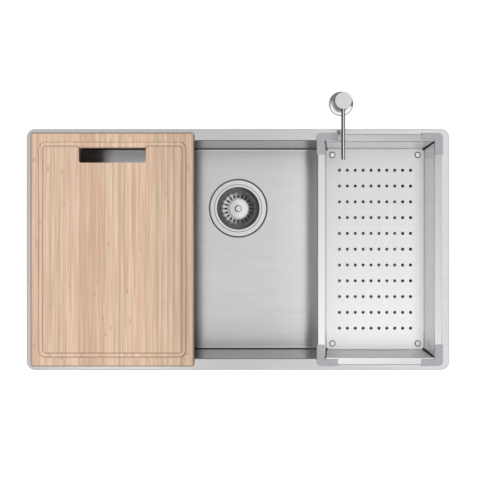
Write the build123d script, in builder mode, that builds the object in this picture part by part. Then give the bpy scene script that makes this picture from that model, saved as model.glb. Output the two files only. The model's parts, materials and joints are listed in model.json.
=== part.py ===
from build123d import *
import os

os.makedirs("parts", exist_ok=True)

# An inset kitchen sink with its basket strainer, chopping board, colander and soap pump.
# Origin: middle of the worktop cut-out, on the worktop's top face.
# +X to the right, +Y to the back, +Z up, all in millimetres.

# Sink shell
rim_length = 755.0
rim_depth = 430.0
rim_width = 20.8
rim_height = 2.5
rim_corner_r = 15.0
rim_edge_r = 1.5
rim_roll_r = 3.0
steel = 1.2
weld_drop = 8.0
bowl_drop = 200.0
bowl_corner_r = 12.5
bowl_floor_r = 4.0
seal_width = 8.0
seal_gap = 0.5

# Recess for the waste, pressed into the bowl floor
drain_x = 0.0
drain_y = 78.6
recess_r = 57.0
recess_drop = 2.5
recess_edge_r = 0.6
drain_hole_r = 46.0

# Clamps that hold the sink down, and damping pads under the bowl
worktop = 38.0
clip_spread = 240.0
clip_width = 20.0
clip_sheet = 1.5
clip_tab = 6.5
clip_tab_drop = 26.0
clip_plate = 14.0
clip_screw_r = 2.0
clip_screw_out = 3.9
clip_head_r = 3.3
clip_head_h = 3.0
clip_reach = 17.5
jaw_sheet = 2.0
jaw_toe = 7.0
jaw_heel = 8.0
pad_length = 200.0
pad_depth = 270.0
pad_t = 3.0
pad_corner_r = 12.0

# Basket strainer and waste, heights counted down from the bowl floor
waste_flange_r = 54.2
waste_bend_r = 0.8
waste_sheet = 1.0
flange_seal_t = 1.0
cup_r = 43.0
cup_drop = 40.0
cup_bend_r = 3.0
cup_fall = 6.0
cup_land_r = 23.0
outlet_slot_r = 13.3
outlet_slot_w = 5.4
outlet_slot_arc = 74.0
clamp_r = 5.0
clamp_head_r = 8.0
clamp_head_h = 5.5
socket_deep = 9.0
housing_seal_t = 3.0
housing_flange_r = 55.0
housing_flange_t = 4.0
housing_wall = 3.0
housing_clear = 2.0
funnel_drop = 8.0
throat_drop = 22.0
outlet_r = 23.9
outlet_bore_r = 20.0
outlet_length = 22.0
boss_r = 12.0
boss_h = 14.0
rib_t = 3.0
nut_flats = 16.0
nut_h = 8.0

# Basket, its knob and its seal
basket_sheet = 0.8
basket_rim_r = 44.8
basket_rim_bend_r = 1.2
basket_band_r = 41.0
basket_band_drop = 12.0
basket_cone_r = 36.0
basket_cone_drop = 15.0
basket_floor_r = 25.5
basket_floor_drop = 34.0
basket_bend_r = 5.0
plateau_r = 20.0
plateau_h = 3.0
flute_count = 20
flute_r = 1.7
flute_sink = 1.0
flute_start = 1.5
flute_stop = 18.5
basket_hole_r = 2.3
basket_hole_pitch_r = 24.2
seal_out_r = 21.9
seal_in_r = 16.6
knob_r = 6.9
knob_h = 7.0
knob_edge_r = 2.2
stem_r = 3.0
stem_end_gap = 1.0
stem_clip_r = 6.0
stem_clip_t = 1.2
ring_wire_r = 0.6
fit_gap = 0.05

# Chopping board
board_width = 290.0
board_t = 18.0
board_inset_x = 9.5
board_inset_y = 7.5
board_corner_r = 4.0
board_edge_r = 2.5
tongue_h = 4.0
tongue_gap = 1.8
grip_length = 119.1
grip_width = 26.5
grip_corner_r = 5.0
grip_inset = 40.2
groove_inset_x = 18.0
groove_inset_y = 20.4
groove_half_w = 4.0
groove_flat = 2.0
groove_deep = 3.0
groove_corner_r = 8.5

# Colander tray with its corner guards and feet
tray_sheet = 0.8
tray_width = 194.6
tray_gap = 0.8
tray_drop = 82.0
tray_draft = 6.7
tray_rim_w = 13.0
tray_inset_x = 11.8
tray_bend_r = 1.5
tray_fold_r = 1.2
tray_edge_r = 0.6
corner_slot = 3.6
corner_relief = 1.5
hole_r = 2.8
hole_pitch_x = 14.6
hole_pitch_y = 29.2
hole_count_x = 10
hole_count_y = 11
guard_lip = 1.5
guard_slot = 0.9
guard_top = 1.6
guard_proud = 2.3
guard_arm = 38.0
guard_corner_r = 8.0
guard_edge_r = 0.8
guard_step_x = 1.2
guard_step_y = 3.0
foot_inset = 11.7
foot_r = 7.0
foot_h = 6.0
foot_lip_r = 5.7
foot_lip_h = 0.6
foot_neck_r = 3.3
rivet_head_r = 4.3
rivet_head_h = 1.2
rivet_edge_r = 0.6
rivet_r = 2.2
rivet_grip = 4.0

# Soap pump in the worktop behind the sink
pump_x = 184.0
pump_setback = 45.4
collar_r = 21.5
collar_edge_h = 3.0
collar_h = 9.0
neck_r = 13.5
neck_top = 16.0
collar_seal_t = 1.0
shank_r = 12.0
shank_wall = 2.2
shank_socket = 6.0
shank_length = 69.0
bottle_thread_r = 11.0
bottle_thread_h = 12.0
shank_washer_r = 16.0
shank_washer_t = 1.5
shank_nut_flats = 26.0
shank_nut_h = 10.0
cylinder_r = 9.5
cylinder_wall = 2.0
cylinder_flange_r = 12.5
cylinder_flange_t = 2.0
cylinder_cap = 6.0
cylinder_length = 60.0
cylinder_floor = 4.0
inlet_r = 2.0
nipple_r = 3.5
nipple_length = 8.0
ball_r = 2.8
dip_wall = 1.1
dip_length = 65.0
rod_r = 4.0
rod_gap = 0.08
rod_bore_r = 2.0
rod_grip = 11.0
piston_h = 7.0
piston_gap = 0.1
piston_drop = 24.0
spring_r = 5.5
spring_wire = 1.1
spring_turns = 6
pump_travel = 12.0
pump_clear = 0.5
head_r = 15.0
head_h = 26.5
head_edge_r = 1.0
nozzle_r = 3.25
nozzle_wall = 1.0
nozzle_reach = 103.6
nozzle_drop = 5.5
nozzle_grip = 9.0
nozzle_mitre = 2.5

# Places that follow from the sizes above
bowl_length = rim_length - 2 * rim_width
bowl_depth = rim_depth - 2 * rim_width
rim_top = rim_height
seam_z = rim_top - weld_drop
floor_z = rim_top - bowl_drop
seal_inset = steel + seal_gap


def section_at(x, y, z):
    """A plane whose sketch X is a radius and whose sketch Y is a height above z."""
    return Plane(origin=(x, y, z), x_dir=(1, 0, 0), z_dir=(0, -1, 0))


def upright_at(x, y):
    return Axis((x, y, 0), (0, 0, 1))


def level_at(x, y, z):
    return Plane(origin=(x, y, z))


def finish(piece, name):
    piece.part.label = name
    export_step(piece.part, f"parts/{name}.step")


# Rim: flat flange, turned down outside, rolled over into the bowl inside
with BuildPart() as sink_rim:
    with BuildSketch():
        RectangleRounded(rim_length, rim_depth, rim_corner_r)
    extrude(amount=rim_height)
    fillet(sink_rim.edges().group_by(Axis.Z)[-1], rim_edge_r)
    with BuildSketch():
        RectangleRounded(rim_length - 2 * steel, rim_depth - 2 * steel, rim_corner_r - steel)
    extrude(amount=rim_height - steel, mode=Mode.SUBTRACT)
    with BuildSketch(Plane.XY.offset(seam_z)):
        RectangleRounded(bowl_length + 2 * steel, bowl_depth + 2 * steel, bowl_corner_r + steel)
    extrude(amount=weld_drop - steel / 2)
    with BuildSketch(Plane.XY.offset(seam_z)):
        RectangleRounded(bowl_length, bowl_depth, bowl_corner_r)
    extrude(amount=weld_drop, mode=Mode.SUBTRACT)
    half_x = bowl_length / 2 + rim_width / 2
    half_y = bowl_depth / 2 + rim_width / 2
    inner = sink_rim.edges().filter_by(
        lambda e: abs(e.center().X) < half_x and abs(e.center().Y) < half_y
    )
    under = inner.filter_by_position(Axis.Z, rim_height - steel - 0.01, rim_height - steel + 0.01)
    fillet(under, rim_roll_r - steel)
    inner = sink_rim.edges().filter_by(
        lambda e: abs(e.center().X) < half_x and abs(e.center().Y) < half_y
    )
    fillet(inner.filter_by_position(Axis.Z, rim_top - 0.01, rim_top + 0.01), rim_roll_r)
finish(sink_rim, "sink_rim")

# Bowl: drawn shell with a pressed recess and a hole for the waste
with BuildPart() as sink_bowl:
    with BuildSketch(Plane.XY.offset(seam_z)):
        RectangleRounded(bowl_length + 2 * steel, bowl_depth + 2 * steel, bowl_corner_r + steel)
    extrude(amount=-(bowl_drop - weld_drop + steel))
    fillet(sink_bowl.edges().group_by(Axis.Z)[0], bowl_floor_r + steel)
    offset(amount=-steel, openings=sink_bowl.faces().sort_by(Axis.Z)[-1])
    with BuildSketch(level_at(drain_x, drain_y, floor_z - recess_drop - steel)):
        Circle(recess_r + steel)
    extrude(amount=recess_drop + steel)
    with BuildSketch(level_at(drain_x, drain_y, floor_z - recess_drop)):
        Circle(recess_r)
    extrude(amount=recess_drop + steel, mode=Mode.SUBTRACT)
    with BuildSketch(level_at(drain_x, drain_y, floor_z - recess_drop - 2 * steel)):
        Circle(drain_hole_r)
    extrude(amount=4 * steel, mode=Mode.SUBTRACT)
    lip = sink_bowl.edges().filter_by(GeomType.CIRCLE)
    lip = lip.filter_by_position(Axis.Z, floor_z - 0.01, floor_z + 0.01)
    fillet(lip.filter_by(lambda e: abs(e.radius - recess_r) < 0.01), recess_edge_r)
finish(sink_bowl, "sink_bowl")

# Foam strip under the rim
with BuildPart() as rim_seal:
    with BuildSketch():
        RectangleRounded(
            rim_length - 2 * seal_inset, rim_depth - 2 * seal_inset, rim_corner_r - seal_inset
        )
        RectangleRounded(
            rim_length - 2 * (seal_inset + seal_width),
            rim_depth - 2 * (seal_inset + seal_width),
            max(1.0, rim_corner_r - seal_inset - seal_width),
            mode=Mode.SUBTRACT,
        )
    extrude(amount=rim_height - steel)
finish(rim_seal, "rim_seal")

# Clamps: each has a plane with sketch X pointing away from the bowl and sketch Y up
clip_planes = []
for side in (1, -1):
    wall_y = side * (bowl_depth / 2 + steel)
    for x in (-clip_spread, 0, clip_spread):
        clip_planes.append(Plane(origin=(x, wall_y, 0), x_dir=(0, side, 0), z_dir=(side, 0, 0)))
    wall_x = side * (bowl_length / 2 + steel)
    clip_planes.append(Plane(origin=(wall_x, 0, 0), x_dir=(side, 0, 0), z_dir=(0, -side, 0)))
screw_points = [plane.origin + plane.x_dir * clip_screw_out for plane in clip_planes]
screw_points = [(point.X, point.Y) for point in screw_points]
tab_z = -clip_tab_drop
jaw_z = -worktop - jaw_toe

with BuildPart() as clip_brackets:
    for plane in clip_planes:
        with BuildSketch(plane):
            with BuildLine():
                Polyline(
                    (0, tab_z),
                    (clip_tab, tab_z),
                    (clip_tab, tab_z + clip_sheet),
                    (clip_sheet, tab_z + clip_sheet),
                    (clip_sheet, tab_z + clip_plate),
                    (0, tab_z + clip_plate),
                    close=True,
                )
            make_face()
        extrude(amount=clip_width / 2, both=True)
    with BuildSketch(Plane.XY.offset(tab_z - clip_sheet)):
        with Locations(*screw_points):
            Circle(clip_screw_r + fit_gap)
    extrude(amount=3 * clip_sheet, mode=Mode.SUBTRACT)
finish(clip_brackets, "clip_brackets")

with BuildPart() as clip_jaws:
    for plane in clip_planes:
        with BuildSketch(plane):
            with BuildLine():
                Polyline(
                    (fit_gap, jaw_z - jaw_heel),
                    (jaw_sheet, jaw_z - jaw_heel),
                    (jaw_sheet, jaw_z),
                    (clip_reach, jaw_z),
                    (clip_reach, -worktop),
                    (clip_reach - jaw_sheet, -worktop),
                    (clip_reach - jaw_sheet, jaw_z + jaw_sheet),
                    (fit_gap, jaw_z + jaw_sheet),
                    close=True,
                )
            make_face()
        extrude(amount=clip_width / 2, both=True)
    with BuildSketch(Plane.XY.offset(jaw_z - jaw_heel - jaw_sheet)):
        with Locations(*screw_points):
            Circle(clip_head_r + fit_gap)
    extrude(amount=jaw_heel + jaw_sheet, mode=Mode.SUBTRACT)
    with BuildSketch(Plane.XY.offset(jaw_z - jaw_sheet)):
        with Locations(*screw_points):
            Circle(clip_screw_r + fit_gap)
    extrude(amount=4 * jaw_sheet, mode=Mode.SUBTRACT)
finish(clip_jaws, "clip_jaws")

with BuildPart() as clip_screws:
    with BuildSketch(Plane.XY.offset(jaw_z)):
        with Locations(*screw_points):
            Circle(clip_screw_r)
    extrude(amount=tab_z - jaw_z + 3 * clip_sheet)
    with BuildSketch(Plane.XY.offset(jaw_z - clip_head_h)):
        with Locations(*screw_points):
            RegularPolygon(clip_head_r, 6)
    extrude(amount=clip_head_h)
finish(clip_screws, "clip_screws")

# Damping pads bonded under the floor, one each side of the waste
for name, side in (("sound_pad_left", -1), ("sound_pad_right", 1)):
    with BuildPart() as sound_pad:
        with BuildSketch(level_at(side * bowl_length * 0.28, 0, floor_z - steel - pad_t)):
            RectangleRounded(pad_length, pad_depth, pad_corner_r)
        extrude(amount=pad_t)
        fillet(sound_pad.edges().group_by(Axis.Z)[0], pad_t / 3)
    finish(sound_pad, name)

# Waste: everything turned about the drain axis, heights from the bowl floor
drain_section = section_at(drain_x, drain_y, floor_z)
drain_axis = upright_at(drain_x, drain_y)
drain_level = level_at(drain_x, drain_y, floor_z)
flange_under = -recess_drop + flange_seal_t
flange_top = flange_under + waste_sheet
housing_top = -recess_drop - steel - housing_seal_t
housing_r = cup_r + waste_sheet + housing_clear
funnel_z = -cup_drop - funnel_drop
throat_z = -cup_drop - throat_drop
outlet_z = throat_z - outlet_length
boss_top = funnel_z - 2
boss_z = boss_top - boss_h
clamp_top = -cup_drop + clamp_head_h

with BuildPart() as flange_seal:
    with BuildSketch(drain_level.offset(-recess_drop)):
        Circle(recess_r - seal_gap)
        Circle(drain_hole_r + 1.5, mode=Mode.SUBTRACT)
    extrude(amount=flange_seal_t)
finish(flange_seal, "flange_seal")

with BuildPart() as strainer_body:
    with BuildSketch(drain_section):
        with BuildLine():
            FilletPolyline(
                (waste_flange_r, flange_top),
                (cup_r, flange_top),
                (cup_r, -cup_drop + cup_fall),
                (cup_land_r, -cup_drop),
                (clamp_r + 4 * fit_gap, -cup_drop),
                radius=(waste_bend_r, cup_bend_r, cup_bend_r),
            )
            offset(amount=waste_sheet, side=Side.LEFT)
        make_face()
    revolve(axis=drain_axis)
    for turn in (0, 120, 240):
        with BuildSketch(drain_level.offset(-cup_drop - 2 * waste_sheet)):
            SlotArc(CenterArc((0, 0), outlet_slot_r, turn, outlet_slot_arc), outlet_slot_w)
        extrude(amount=3 * waste_sheet, mode=Mode.SUBTRACT)
finish(strainer_body, "strainer_body")

with BuildPart() as housing_seal:
    with BuildSketch(drain_level.offset(housing_top)):
        Circle(housing_flange_r - 0.5)
        Circle(housing_r, mode=Mode.SUBTRACT)
    extrude(amount=housing_seal_t)
finish(housing_seal, "housing_seal")

# The waterway is what is hollow inside the housing, with the nut's boss and ribs left standing
with BuildPart() as waterway:
    with BuildSketch(drain_section):
        with BuildLine():
            Polyline(
                (0, housing_top + 1),
                (housing_r, housing_top + 1),
                (housing_r, funnel_z),
                (outlet_bore_r, throat_z),
                (outlet_bore_r, outlet_z - 1),
                (0, outlet_z - 1),
                close=True,
            )
        make_face()
    revolve(axis=drain_axis)
    with BuildSketch(drain_level.offset(boss_z)):
        Circle(boss_r)
    extrude(amount=boss_h, mode=Mode.SUBTRACT)
    with BuildSketch(drain_level.offset(boss_z)):
        with PolarLocations(housing_r / 2 + boss_r / 2, 3):
            Rectangle(housing_r, rib_t)
    extrude(amount=boss_h, mode=Mode.SUBTRACT)

with BuildPart() as waste_housing:
    with BuildSketch(drain_section):
        with BuildLine():
            Polyline(
                (0, housing_top),
                (housing_flange_r, housing_top),
                (housing_flange_r, housing_top - housing_flange_t),
                (housing_r + housing_wall, housing_top - housing_flange_t),
                (housing_r + housing_wall, funnel_z - 1),
                (outlet_r, throat_z - 3),
                (outlet_r, outlet_z + 1),
                (outlet_r - 1, outlet_z),
                (0, outlet_z),
                close=True,
            )
        make_face()
    revolve(axis=drain_axis)
    add(waterway.part, mode=Mode.SUBTRACT)
    with BuildSketch(drain_level.offset(boss_z - 1)):
        Circle(clamp_r + 4 * fit_gap)
    extrude(amount=boss_h + 2, mode=Mode.SUBTRACT)
    with BuildSketch(drain_level.offset(boss_z - 1)):
        RegularPolygon(nut_flats / 2 + fit_gap, 6, major_radius=False)
    extrude(amount=nut_h + 3, mode=Mode.SUBTRACT)
finish(waste_housing, "waste_housing")

with BuildPart() as housing_nut:
    with BuildSketch(drain_level.offset(boss_z + 2)):
        RegularPolygon(nut_flats / 2, 6, major_radius=False)
        Circle(clamp_r + fit_gap, mode=Mode.SUBTRACT)
    extrude(amount=nut_h)
finish(housing_nut, "housing_nut")

with BuildPart() as clamp_screw:
    with BuildSketch(drain_section):
        with BuildLine():
            Polyline(
                (0, clamp_top - socket_deep),
                (stem_r + 5 * fit_gap, clamp_top - socket_deep),
                (stem_r + 5 * fit_gap, clamp_top),
                (clamp_head_r - 1, clamp_top),
                (clamp_head_r, clamp_top - 1),
                (clamp_head_r, -cup_drop),
                (clamp_r, -cup_drop),
                (clamp_r, boss_z + 1),
                (clamp_r - 1, boss_z),
                (0, boss_z),
                close=True,
            )
        make_face()
    revolve(axis=drain_axis)
finish(clamp_screw, "clamp_screw")

# Basket: spun cup hung by a flat rim, with pressed flutes that run down to a ring of holes
plateau_z = -basket_floor_drop + plateau_h
basket_rim_z = flange_top + basket_sheet
basket_path = [
    (basket_rim_r, basket_rim_z),
    (basket_band_r, basket_rim_z),
    (basket_band_r - 0.6, -basket_band_drop),
    (basket_cone_r, -basket_cone_drop),
    (basket_floor_r, -basket_floor_drop),
    (plateau_r + 1.5, -basket_floor_drop),
    (plateau_r, plateau_z),
    (stem_r + 2 * fit_gap, plateau_z),
]
basket_bends = (basket_rim_bend_r, 1.0, 1.5, basket_bend_r, 0.6, 0.6)
cone_foot = Vector(basket_floor_r, 0, -basket_floor_drop)
cone_rise = (Vector(basket_cone_r, 0, -basket_cone_drop) - cone_foot).normalized()
cone_out = Vector(cone_rise.Z, 0, -cone_rise.X)
flute_mid = cone_foot + cone_rise * (flute_start + flute_stop) / 2 + cone_out * flute_sink
flute_run = flute_stop - flute_start
flute_tilt = Vector(0, 0, 1).get_angle(cone_rise)

with BuildPart(drain_level) as strainer_basket:
    with BuildSketch(drain_section):
        with BuildLine():
            FilletPolyline(*basket_path, radius=basket_bends)
            offset(amount=basket_sheet, side=Side.LEFT)
        make_face()
    revolve(axis=drain_axis)
    with PolarLocations(flute_mid.X, flute_count):
        with Locations(Location((0, 0, flute_mid.Z), (0, flute_tilt, 0))):
            Cylinder(flute_r + basket_sheet, flute_run)
    with BuildSketch(drain_section):
        with BuildLine():
            FilletPolyline(*basket_path, radius=basket_bends)
            Polyline(
                basket_path[-1],
                (0, plateau_z),
                (0, basket_rim_z + basket_sheet),
                (basket_rim_r, basket_rim_z + basket_sheet),
                basket_path[0],
            )
        make_face()
    revolve(axis=drain_axis, mode=Mode.SUBTRACT)
    with PolarLocations(flute_mid.X, flute_count):
        with Locations(Location((0, 0, flute_mid.Z), (0, flute_tilt, 0))):
            Cylinder(flute_r, flute_run - 2 * basket_sheet, mode=Mode.SUBTRACT)
    with BuildSketch(drain_level.offset(-basket_floor_drop - 4)):
        with PolarLocations(basket_hole_pitch_r, flute_count):
            Circle(basket_hole_r)
    extrude(amount=8, mode=Mode.SUBTRACT)
finish(strainer_basket, "strainer_basket")

plateau_under = plateau_z - basket_sheet
stem_end = clamp_top - socket_deep + stem_end_gap
ring_z = (clamp_top + stem_end) / 2
with BuildPart() as basket_knob:
    with BuildSketch(drain_section):
        with BuildLine():
            Polyline(
                (0, plateau_z + knob_h),
                (knob_r, plateau_z + knob_h),
                (knob_r, plateau_z + 0.6 * knob_h),
                (0.7 * knob_r, plateau_z),
                (stem_r, plateau_z),
                (stem_r, ring_z + ring_wire_r + fit_gap),
                (stem_r - 2 * ring_wire_r + 0.15, ring_z + ring_wire_r + fit_gap),
                (stem_r - 2 * ring_wire_r + 0.15, ring_z - ring_wire_r - fit_gap),
                (stem_r, ring_z - ring_wire_r - fit_gap),
                (stem_r, stem_end + 0.5),
                (stem_r - 0.5, stem_end),
                (0, stem_end),
                close=True,
            )
        make_face()
    revolve(axis=drain_axis)
    crown = basket_knob.edges().filter_by(GeomType.CIRCLE).sort_by(Axis.Z)[-1]
    fillet(crown, knob_edge_r)
finish(basket_knob, "basket_knob")

with BuildPart() as stem_clip:
    with BuildSketch(drain_level.offset(plateau_under - stem_clip_t)):
        Circle(stem_clip_r)
        Circle(stem_r + fit_gap, mode=Mode.SUBTRACT)
    extrude(amount=stem_clip_t)
finish(stem_clip, "stem_clip")

with BuildPart() as stem_ring:
    with BuildSketch(drain_section):
        with Locations((stem_r - ring_wire_r + 0.2, ring_z)):
            Circle(ring_wire_r)
    revolve(axis=drain_axis)
finish(stem_ring, "stem_ring")

with BuildPart() as basket_seal:
    with BuildSketch(drain_section):
        with BuildLine():
            Polyline(
                (seal_in_r, -cup_drop),
                (seal_out_r, -cup_drop),
                (seal_out_r, -basket_floor_drop - basket_sheet),
                (plateau_r - basket_sheet, -basket_floor_drop - basket_sheet),
                (plateau_r - 2 * basket_sheet, plateau_under),
                (seal_in_r, plateau_under),
                close=True,
            )
        make_face()
    revolve(axis=drain_axis)
finish(basket_seal, "basket_seal")

# Chopping board: lies on the rim, its tongue drops into the bowl
board_depth = rim_depth - 2 * board_inset_y
board_left = -rim_length / 2 + board_inset_x
board_x = board_left + board_width / 2
board_top = rim_top + board_t
grip_y = board_depth / 2 - grip_inset
tongue_left = -bowl_length / 2 + tongue_gap
tongue_right = board_left + board_width - board_corner_r
groove_half_x = board_width / 2 - groove_inset_x
groove_half_y = board_depth / 2 - groove_inset_y
run_out_y = groove_half_y - groove_half_w - grip_y
with BuildPart() as chopping_board:
    with BuildSketch(level_at(board_x, 0, rim_top)):
        RectangleRounded(board_width, board_depth, board_corner_r)
    extrude(amount=board_t)
    fillet(chopping_board.edges().group_by(Axis.Z)[-1], board_edge_r)
    with BuildSketch(level_at((tongue_left + tongue_right) / 2, 0, rim_top - tongue_h)):
        RectangleRounded(
            tongue_right - tongue_left, bowl_depth - 2 * tongue_gap, bowl_corner_r - tongue_gap
        )
    extrude(amount=tongue_h)
    fillet(chopping_board.edges().group_by(Axis.Z)[0], board_edge_r)
    with BuildSketch(level_at(board_x, grip_y, rim_top - tongue_h)):
        RectangleRounded(grip_length, grip_width, grip_corner_r)
    extrude(amount=board_t + tongue_h, mode=Mode.SUBTRACT)
    with BuildSketch(level_at(board_x, grip_y, board_top - groove_deep)):
        with Locations((0, (groove_half_y - grip_y) / 2)):
            RectangleRounded(grip_length, groove_half_y - grip_y, grip_corner_r)
        with Locations((0, run_out_y + (groove_half_w - grip_corner_r) / 2)):
            Rectangle(grip_length + 2 * grip_corner_r, groove_half_w + grip_corner_r)
        run_out_x = grip_length / 2 + grip_corner_r
        with Locations((run_out_x, run_out_y - grip_corner_r), (-run_out_x, run_out_y - grip_corner_r)):
            Circle(grip_corner_r, mode=Mode.SUBTRACT)
    extrude(amount=groove_deep, mode=Mode.SUBTRACT)
    with BuildLine(level_at(board_x, 0, board_top)) as groove_line:
        FilletPolyline(
            (groove_half_x, -groove_half_y),
            (groove_half_x, groove_half_y),
            (-groove_half_x, groove_half_y),
            (-groove_half_x, -groove_half_y),
            radius=groove_corner_r,
            close=True,
        )
    groove_path = groove_line.wires()[0]
    groove_start = Plane(origin=groove_path @ 0, x_dir=(1, 0, 0), z_dir=groove_path % 0)
    with BuildSketch(groove_start) as groove_shape:
        with BuildLine():
            Polyline(
                (-groove_half_w, -groove_deep),
                (-groove_half_w, groove_deep),
                (groove_flat - groove_half_w, groove_deep),
                (groove_half_w, 0),
                (groove_half_w, -groove_deep),
                close=True,
            )
        make_face()
        fillet(groove_shape.vertices().sort_by(Axis.Y)[-2:], groove_flat / 2)
    sweep(path=groove_path, mode=Mode.SUBTRACT)
finish(chopping_board, "chopping_board")

# Colander: one folded sheet, open at the corners, hung on the rim by its plastic guards
tray_depth = bowl_depth - 2 * (tray_gap + tray_sheet)
tray_rim_under = rim_top + guard_lip
tray_top = tray_rim_under + tray_sheet
tray_floor = tray_top - tray_drop
floor_x = tray_width - 2 * tray_draft
floor_y = tray_depth - 2 * tray_draft
rim_x = tray_width + 2 * tray_rim_w
rim_y = tray_depth + 2 * tray_rim_w
guard_x = rim_x + 2 * guard_proud
guard_y = rim_y + 2 * guard_proud
tray_x = rim_length / 2 - tray_inset_x - guard_x / 2
foot_x = floor_x / 2 - foot_inset
foot_y = floor_y / 2 - foot_inset
corners = [(1, 1), (-1, 1), (-1, -1), (1, -1)]

# The space inside the tray, cut out of it below
with BuildPart() as tray_space:
    with BuildSketch(level_at(tray_x, 0, tray_floor)):
        Rectangle(floor_x, floor_y)
    with BuildSketch(level_at(tray_x, 0, tray_top)):
        Rectangle(tray_width, tray_depth)
    loft(ruled=True)
    fillet(tray_space.edges().group_by(Axis.Z)[0], tray_bend_r)

with BuildPart() as colander_tray:
    with BuildSketch(level_at(tray_x, 0, tray_floor - tray_sheet)):
        Rectangle(floor_x + 2 * tray_sheet, floor_y + 2 * tray_sheet)
    with BuildSketch(level_at(tray_x, 0, tray_top)):
        Rectangle(tray_width + 2 * tray_sheet, tray_depth + 2 * tray_sheet)
    loft(ruled=True)
    fold = colander_tray.edges().group_by(Axis.Z)[0]
    fillet(fold, tray_bend_r + tray_sheet)
    with BuildSketch(level_at(tray_x, 0, tray_rim_under)):
        Rectangle(rim_x, tray_depth - 2 * tray_bend_r)
        Rectangle(tray_width - 2 * tray_bend_r, rim_y)
    extrude(amount=tray_sheet)
    add(tray_space.part, mode=Mode.SUBTRACT)
    with BuildSketch(level_at(tray_x, 0, tray_floor - tray_sheet)):
        for sx, sy in corners:
            reach = 2 * tray_rim_w
            start_x = floor_x / 2 - corner_relief
            start_y = floor_y / 2 - corner_relief
            with Locations((sx * (start_x + reach / 2), sy * (start_y + reach / 2))):
                SlotCenterToCenter(reach * 2**0.5, corner_slot, rotation=45 * sx * sy)
    extrude(amount=tray_drop + 2 * tray_sheet, mode=Mode.SUBTRACT)
    with BuildSketch(level_at(tray_x, 0, tray_floor - tray_sheet)):
        with GridLocations(hole_pitch_x, hole_pitch_y, hole_count_x, hole_count_y):
            Circle(hole_r)
        with GridLocations(2 * foot_x, 2 * foot_y, 2, 2):
            Circle(foot_neck_r + fit_gap)
    extrude(amount=tray_sheet, mode=Mode.SUBTRACT)
    long_edges = colander_tray.edges().filter_by_position(Axis.Z, tray_top - 0.01, tray_top + 0.01)
    long_edges = long_edges.filter_by(lambda e: e.length > tray_width / 2)
    folds = long_edges.filter_by(
        lambda e: abs(e.center().X - tray_x) < tray_width / 2 + 1
        and abs(e.center().Y) < tray_depth / 2 + 1
    )
    fillet(folds, tray_fold_r)
    long_edges = colander_tray.edges().filter_by_position(Axis.Z, tray_top - 0.01, tray_top + 0.01)
    long_edges = long_edges.filter_by(lambda e: e.length > tray_width / 2)
    rims = long_edges.filter_by(
        lambda e: abs(e.center().X - tray_x) > rim_x / 2 - 1 or abs(e.center().Y) > rim_y / 2 - 1
    )
    fillet(rims, tray_edge_r)
finish(colander_tray, "colander_tray")

# Guards: an L over each rim corner, with a slot that the two rim strips push into
guard_h = guard_lip + guard_slot + guard_top
for number, (sx, sy) in enumerate(corners, start=1):
    with BuildPart() as corner_guard:
        with BuildSketch(level_at(tray_x, 0, rim_top)):
            with Locations((sx * (guard_x - guard_arm) / 2, sy * (guard_y - guard_arm) / 2)):
                Rectangle(guard_arm, guard_arm)
            Rectangle(
                tray_width + 2 * guard_step_x, tray_depth + 2 * guard_step_y, mode=Mode.SUBTRACT
            )
        extrude(amount=guard_h)
        tip = (tray_x + sx * guard_x / 2, sy * guard_y / 2, rim_top + guard_h / 2)
        fillet(corner_guard.edges().filter_by(Axis.Z).sort_by_distance(tip)[0], guard_corner_r)
        fillet(corner_guard.edges().group_by(Axis.Z)[-1], guard_edge_r)
        with BuildSketch(level_at(tray_x, 0, tray_rim_under)):
            Rectangle(rim_x + 2 * fit_gap, tray_depth + 2 * fit_gap)
            Rectangle(tray_width + 2 * fit_gap, rim_y + 2 * fit_gap)
        extrude(amount=guard_slot, mode=Mode.SUBTRACT)
    finish(corner_guard, f"corner_guard_{number}")

# Feet: rubber pads under the floor with a lip above it, each held by a flat-headed rivet
rivet_end = -tray_sheet - rivet_grip
crown_h = foot_lip_h + rivet_head_h
for number, (sx, sy) in enumerate(corners, start=1):
    place_x = tray_x + sx * foot_x
    place_y = sy * foot_y
    with BuildPart() as colander_foot:
        with BuildSketch(section_at(place_x, place_y, tray_floor)):
            with BuildLine():
                Polyline(
                    (rivet_r + fit_gap, foot_lip_h),
                    (foot_lip_r, foot_lip_h),
                    (foot_lip_r, 0),
                    (foot_neck_r, 0),
                    (foot_neck_r, -tray_sheet),
                    (foot_r, -tray_sheet),
                    (foot_r - 1, -tray_sheet - foot_h),
                    (0, -tray_sheet - foot_h),
                    (0, rivet_end),
                    (rivet_r + fit_gap, rivet_end),
                    close=True,
                )
            make_face()
        revolve(axis=upright_at(place_x, place_y))
    finish(colander_foot, f"colander_foot_{number}")

with BuildPart() as foot_rivets:
    for sx, sy in corners:
        place_x = tray_x + sx * foot_x
        place_y = sy * foot_y
        with BuildSketch(section_at(place_x, place_y, tray_floor)):
            with BuildLine():
                Polyline(
                    (0, crown_h),
                    (rivet_head_r, crown_h),
                    (rivet_head_r, foot_lip_h),
                    (rivet_r, foot_lip_h),
                    (rivet_r, rivet_end),
                    (0, rivet_end),
                    close=True,
                )
            make_face()
        revolve(axis=upright_at(place_x, place_y))
    crown_z = tray_floor + crown_h
    crowns = foot_rivets.edges().filter_by_position(Axis.Z, crown_z - 0.01, crown_z + 0.01)
    fillet(crowns, rivet_edge_r)
finish(foot_rivets, "foot_rivets")

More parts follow.
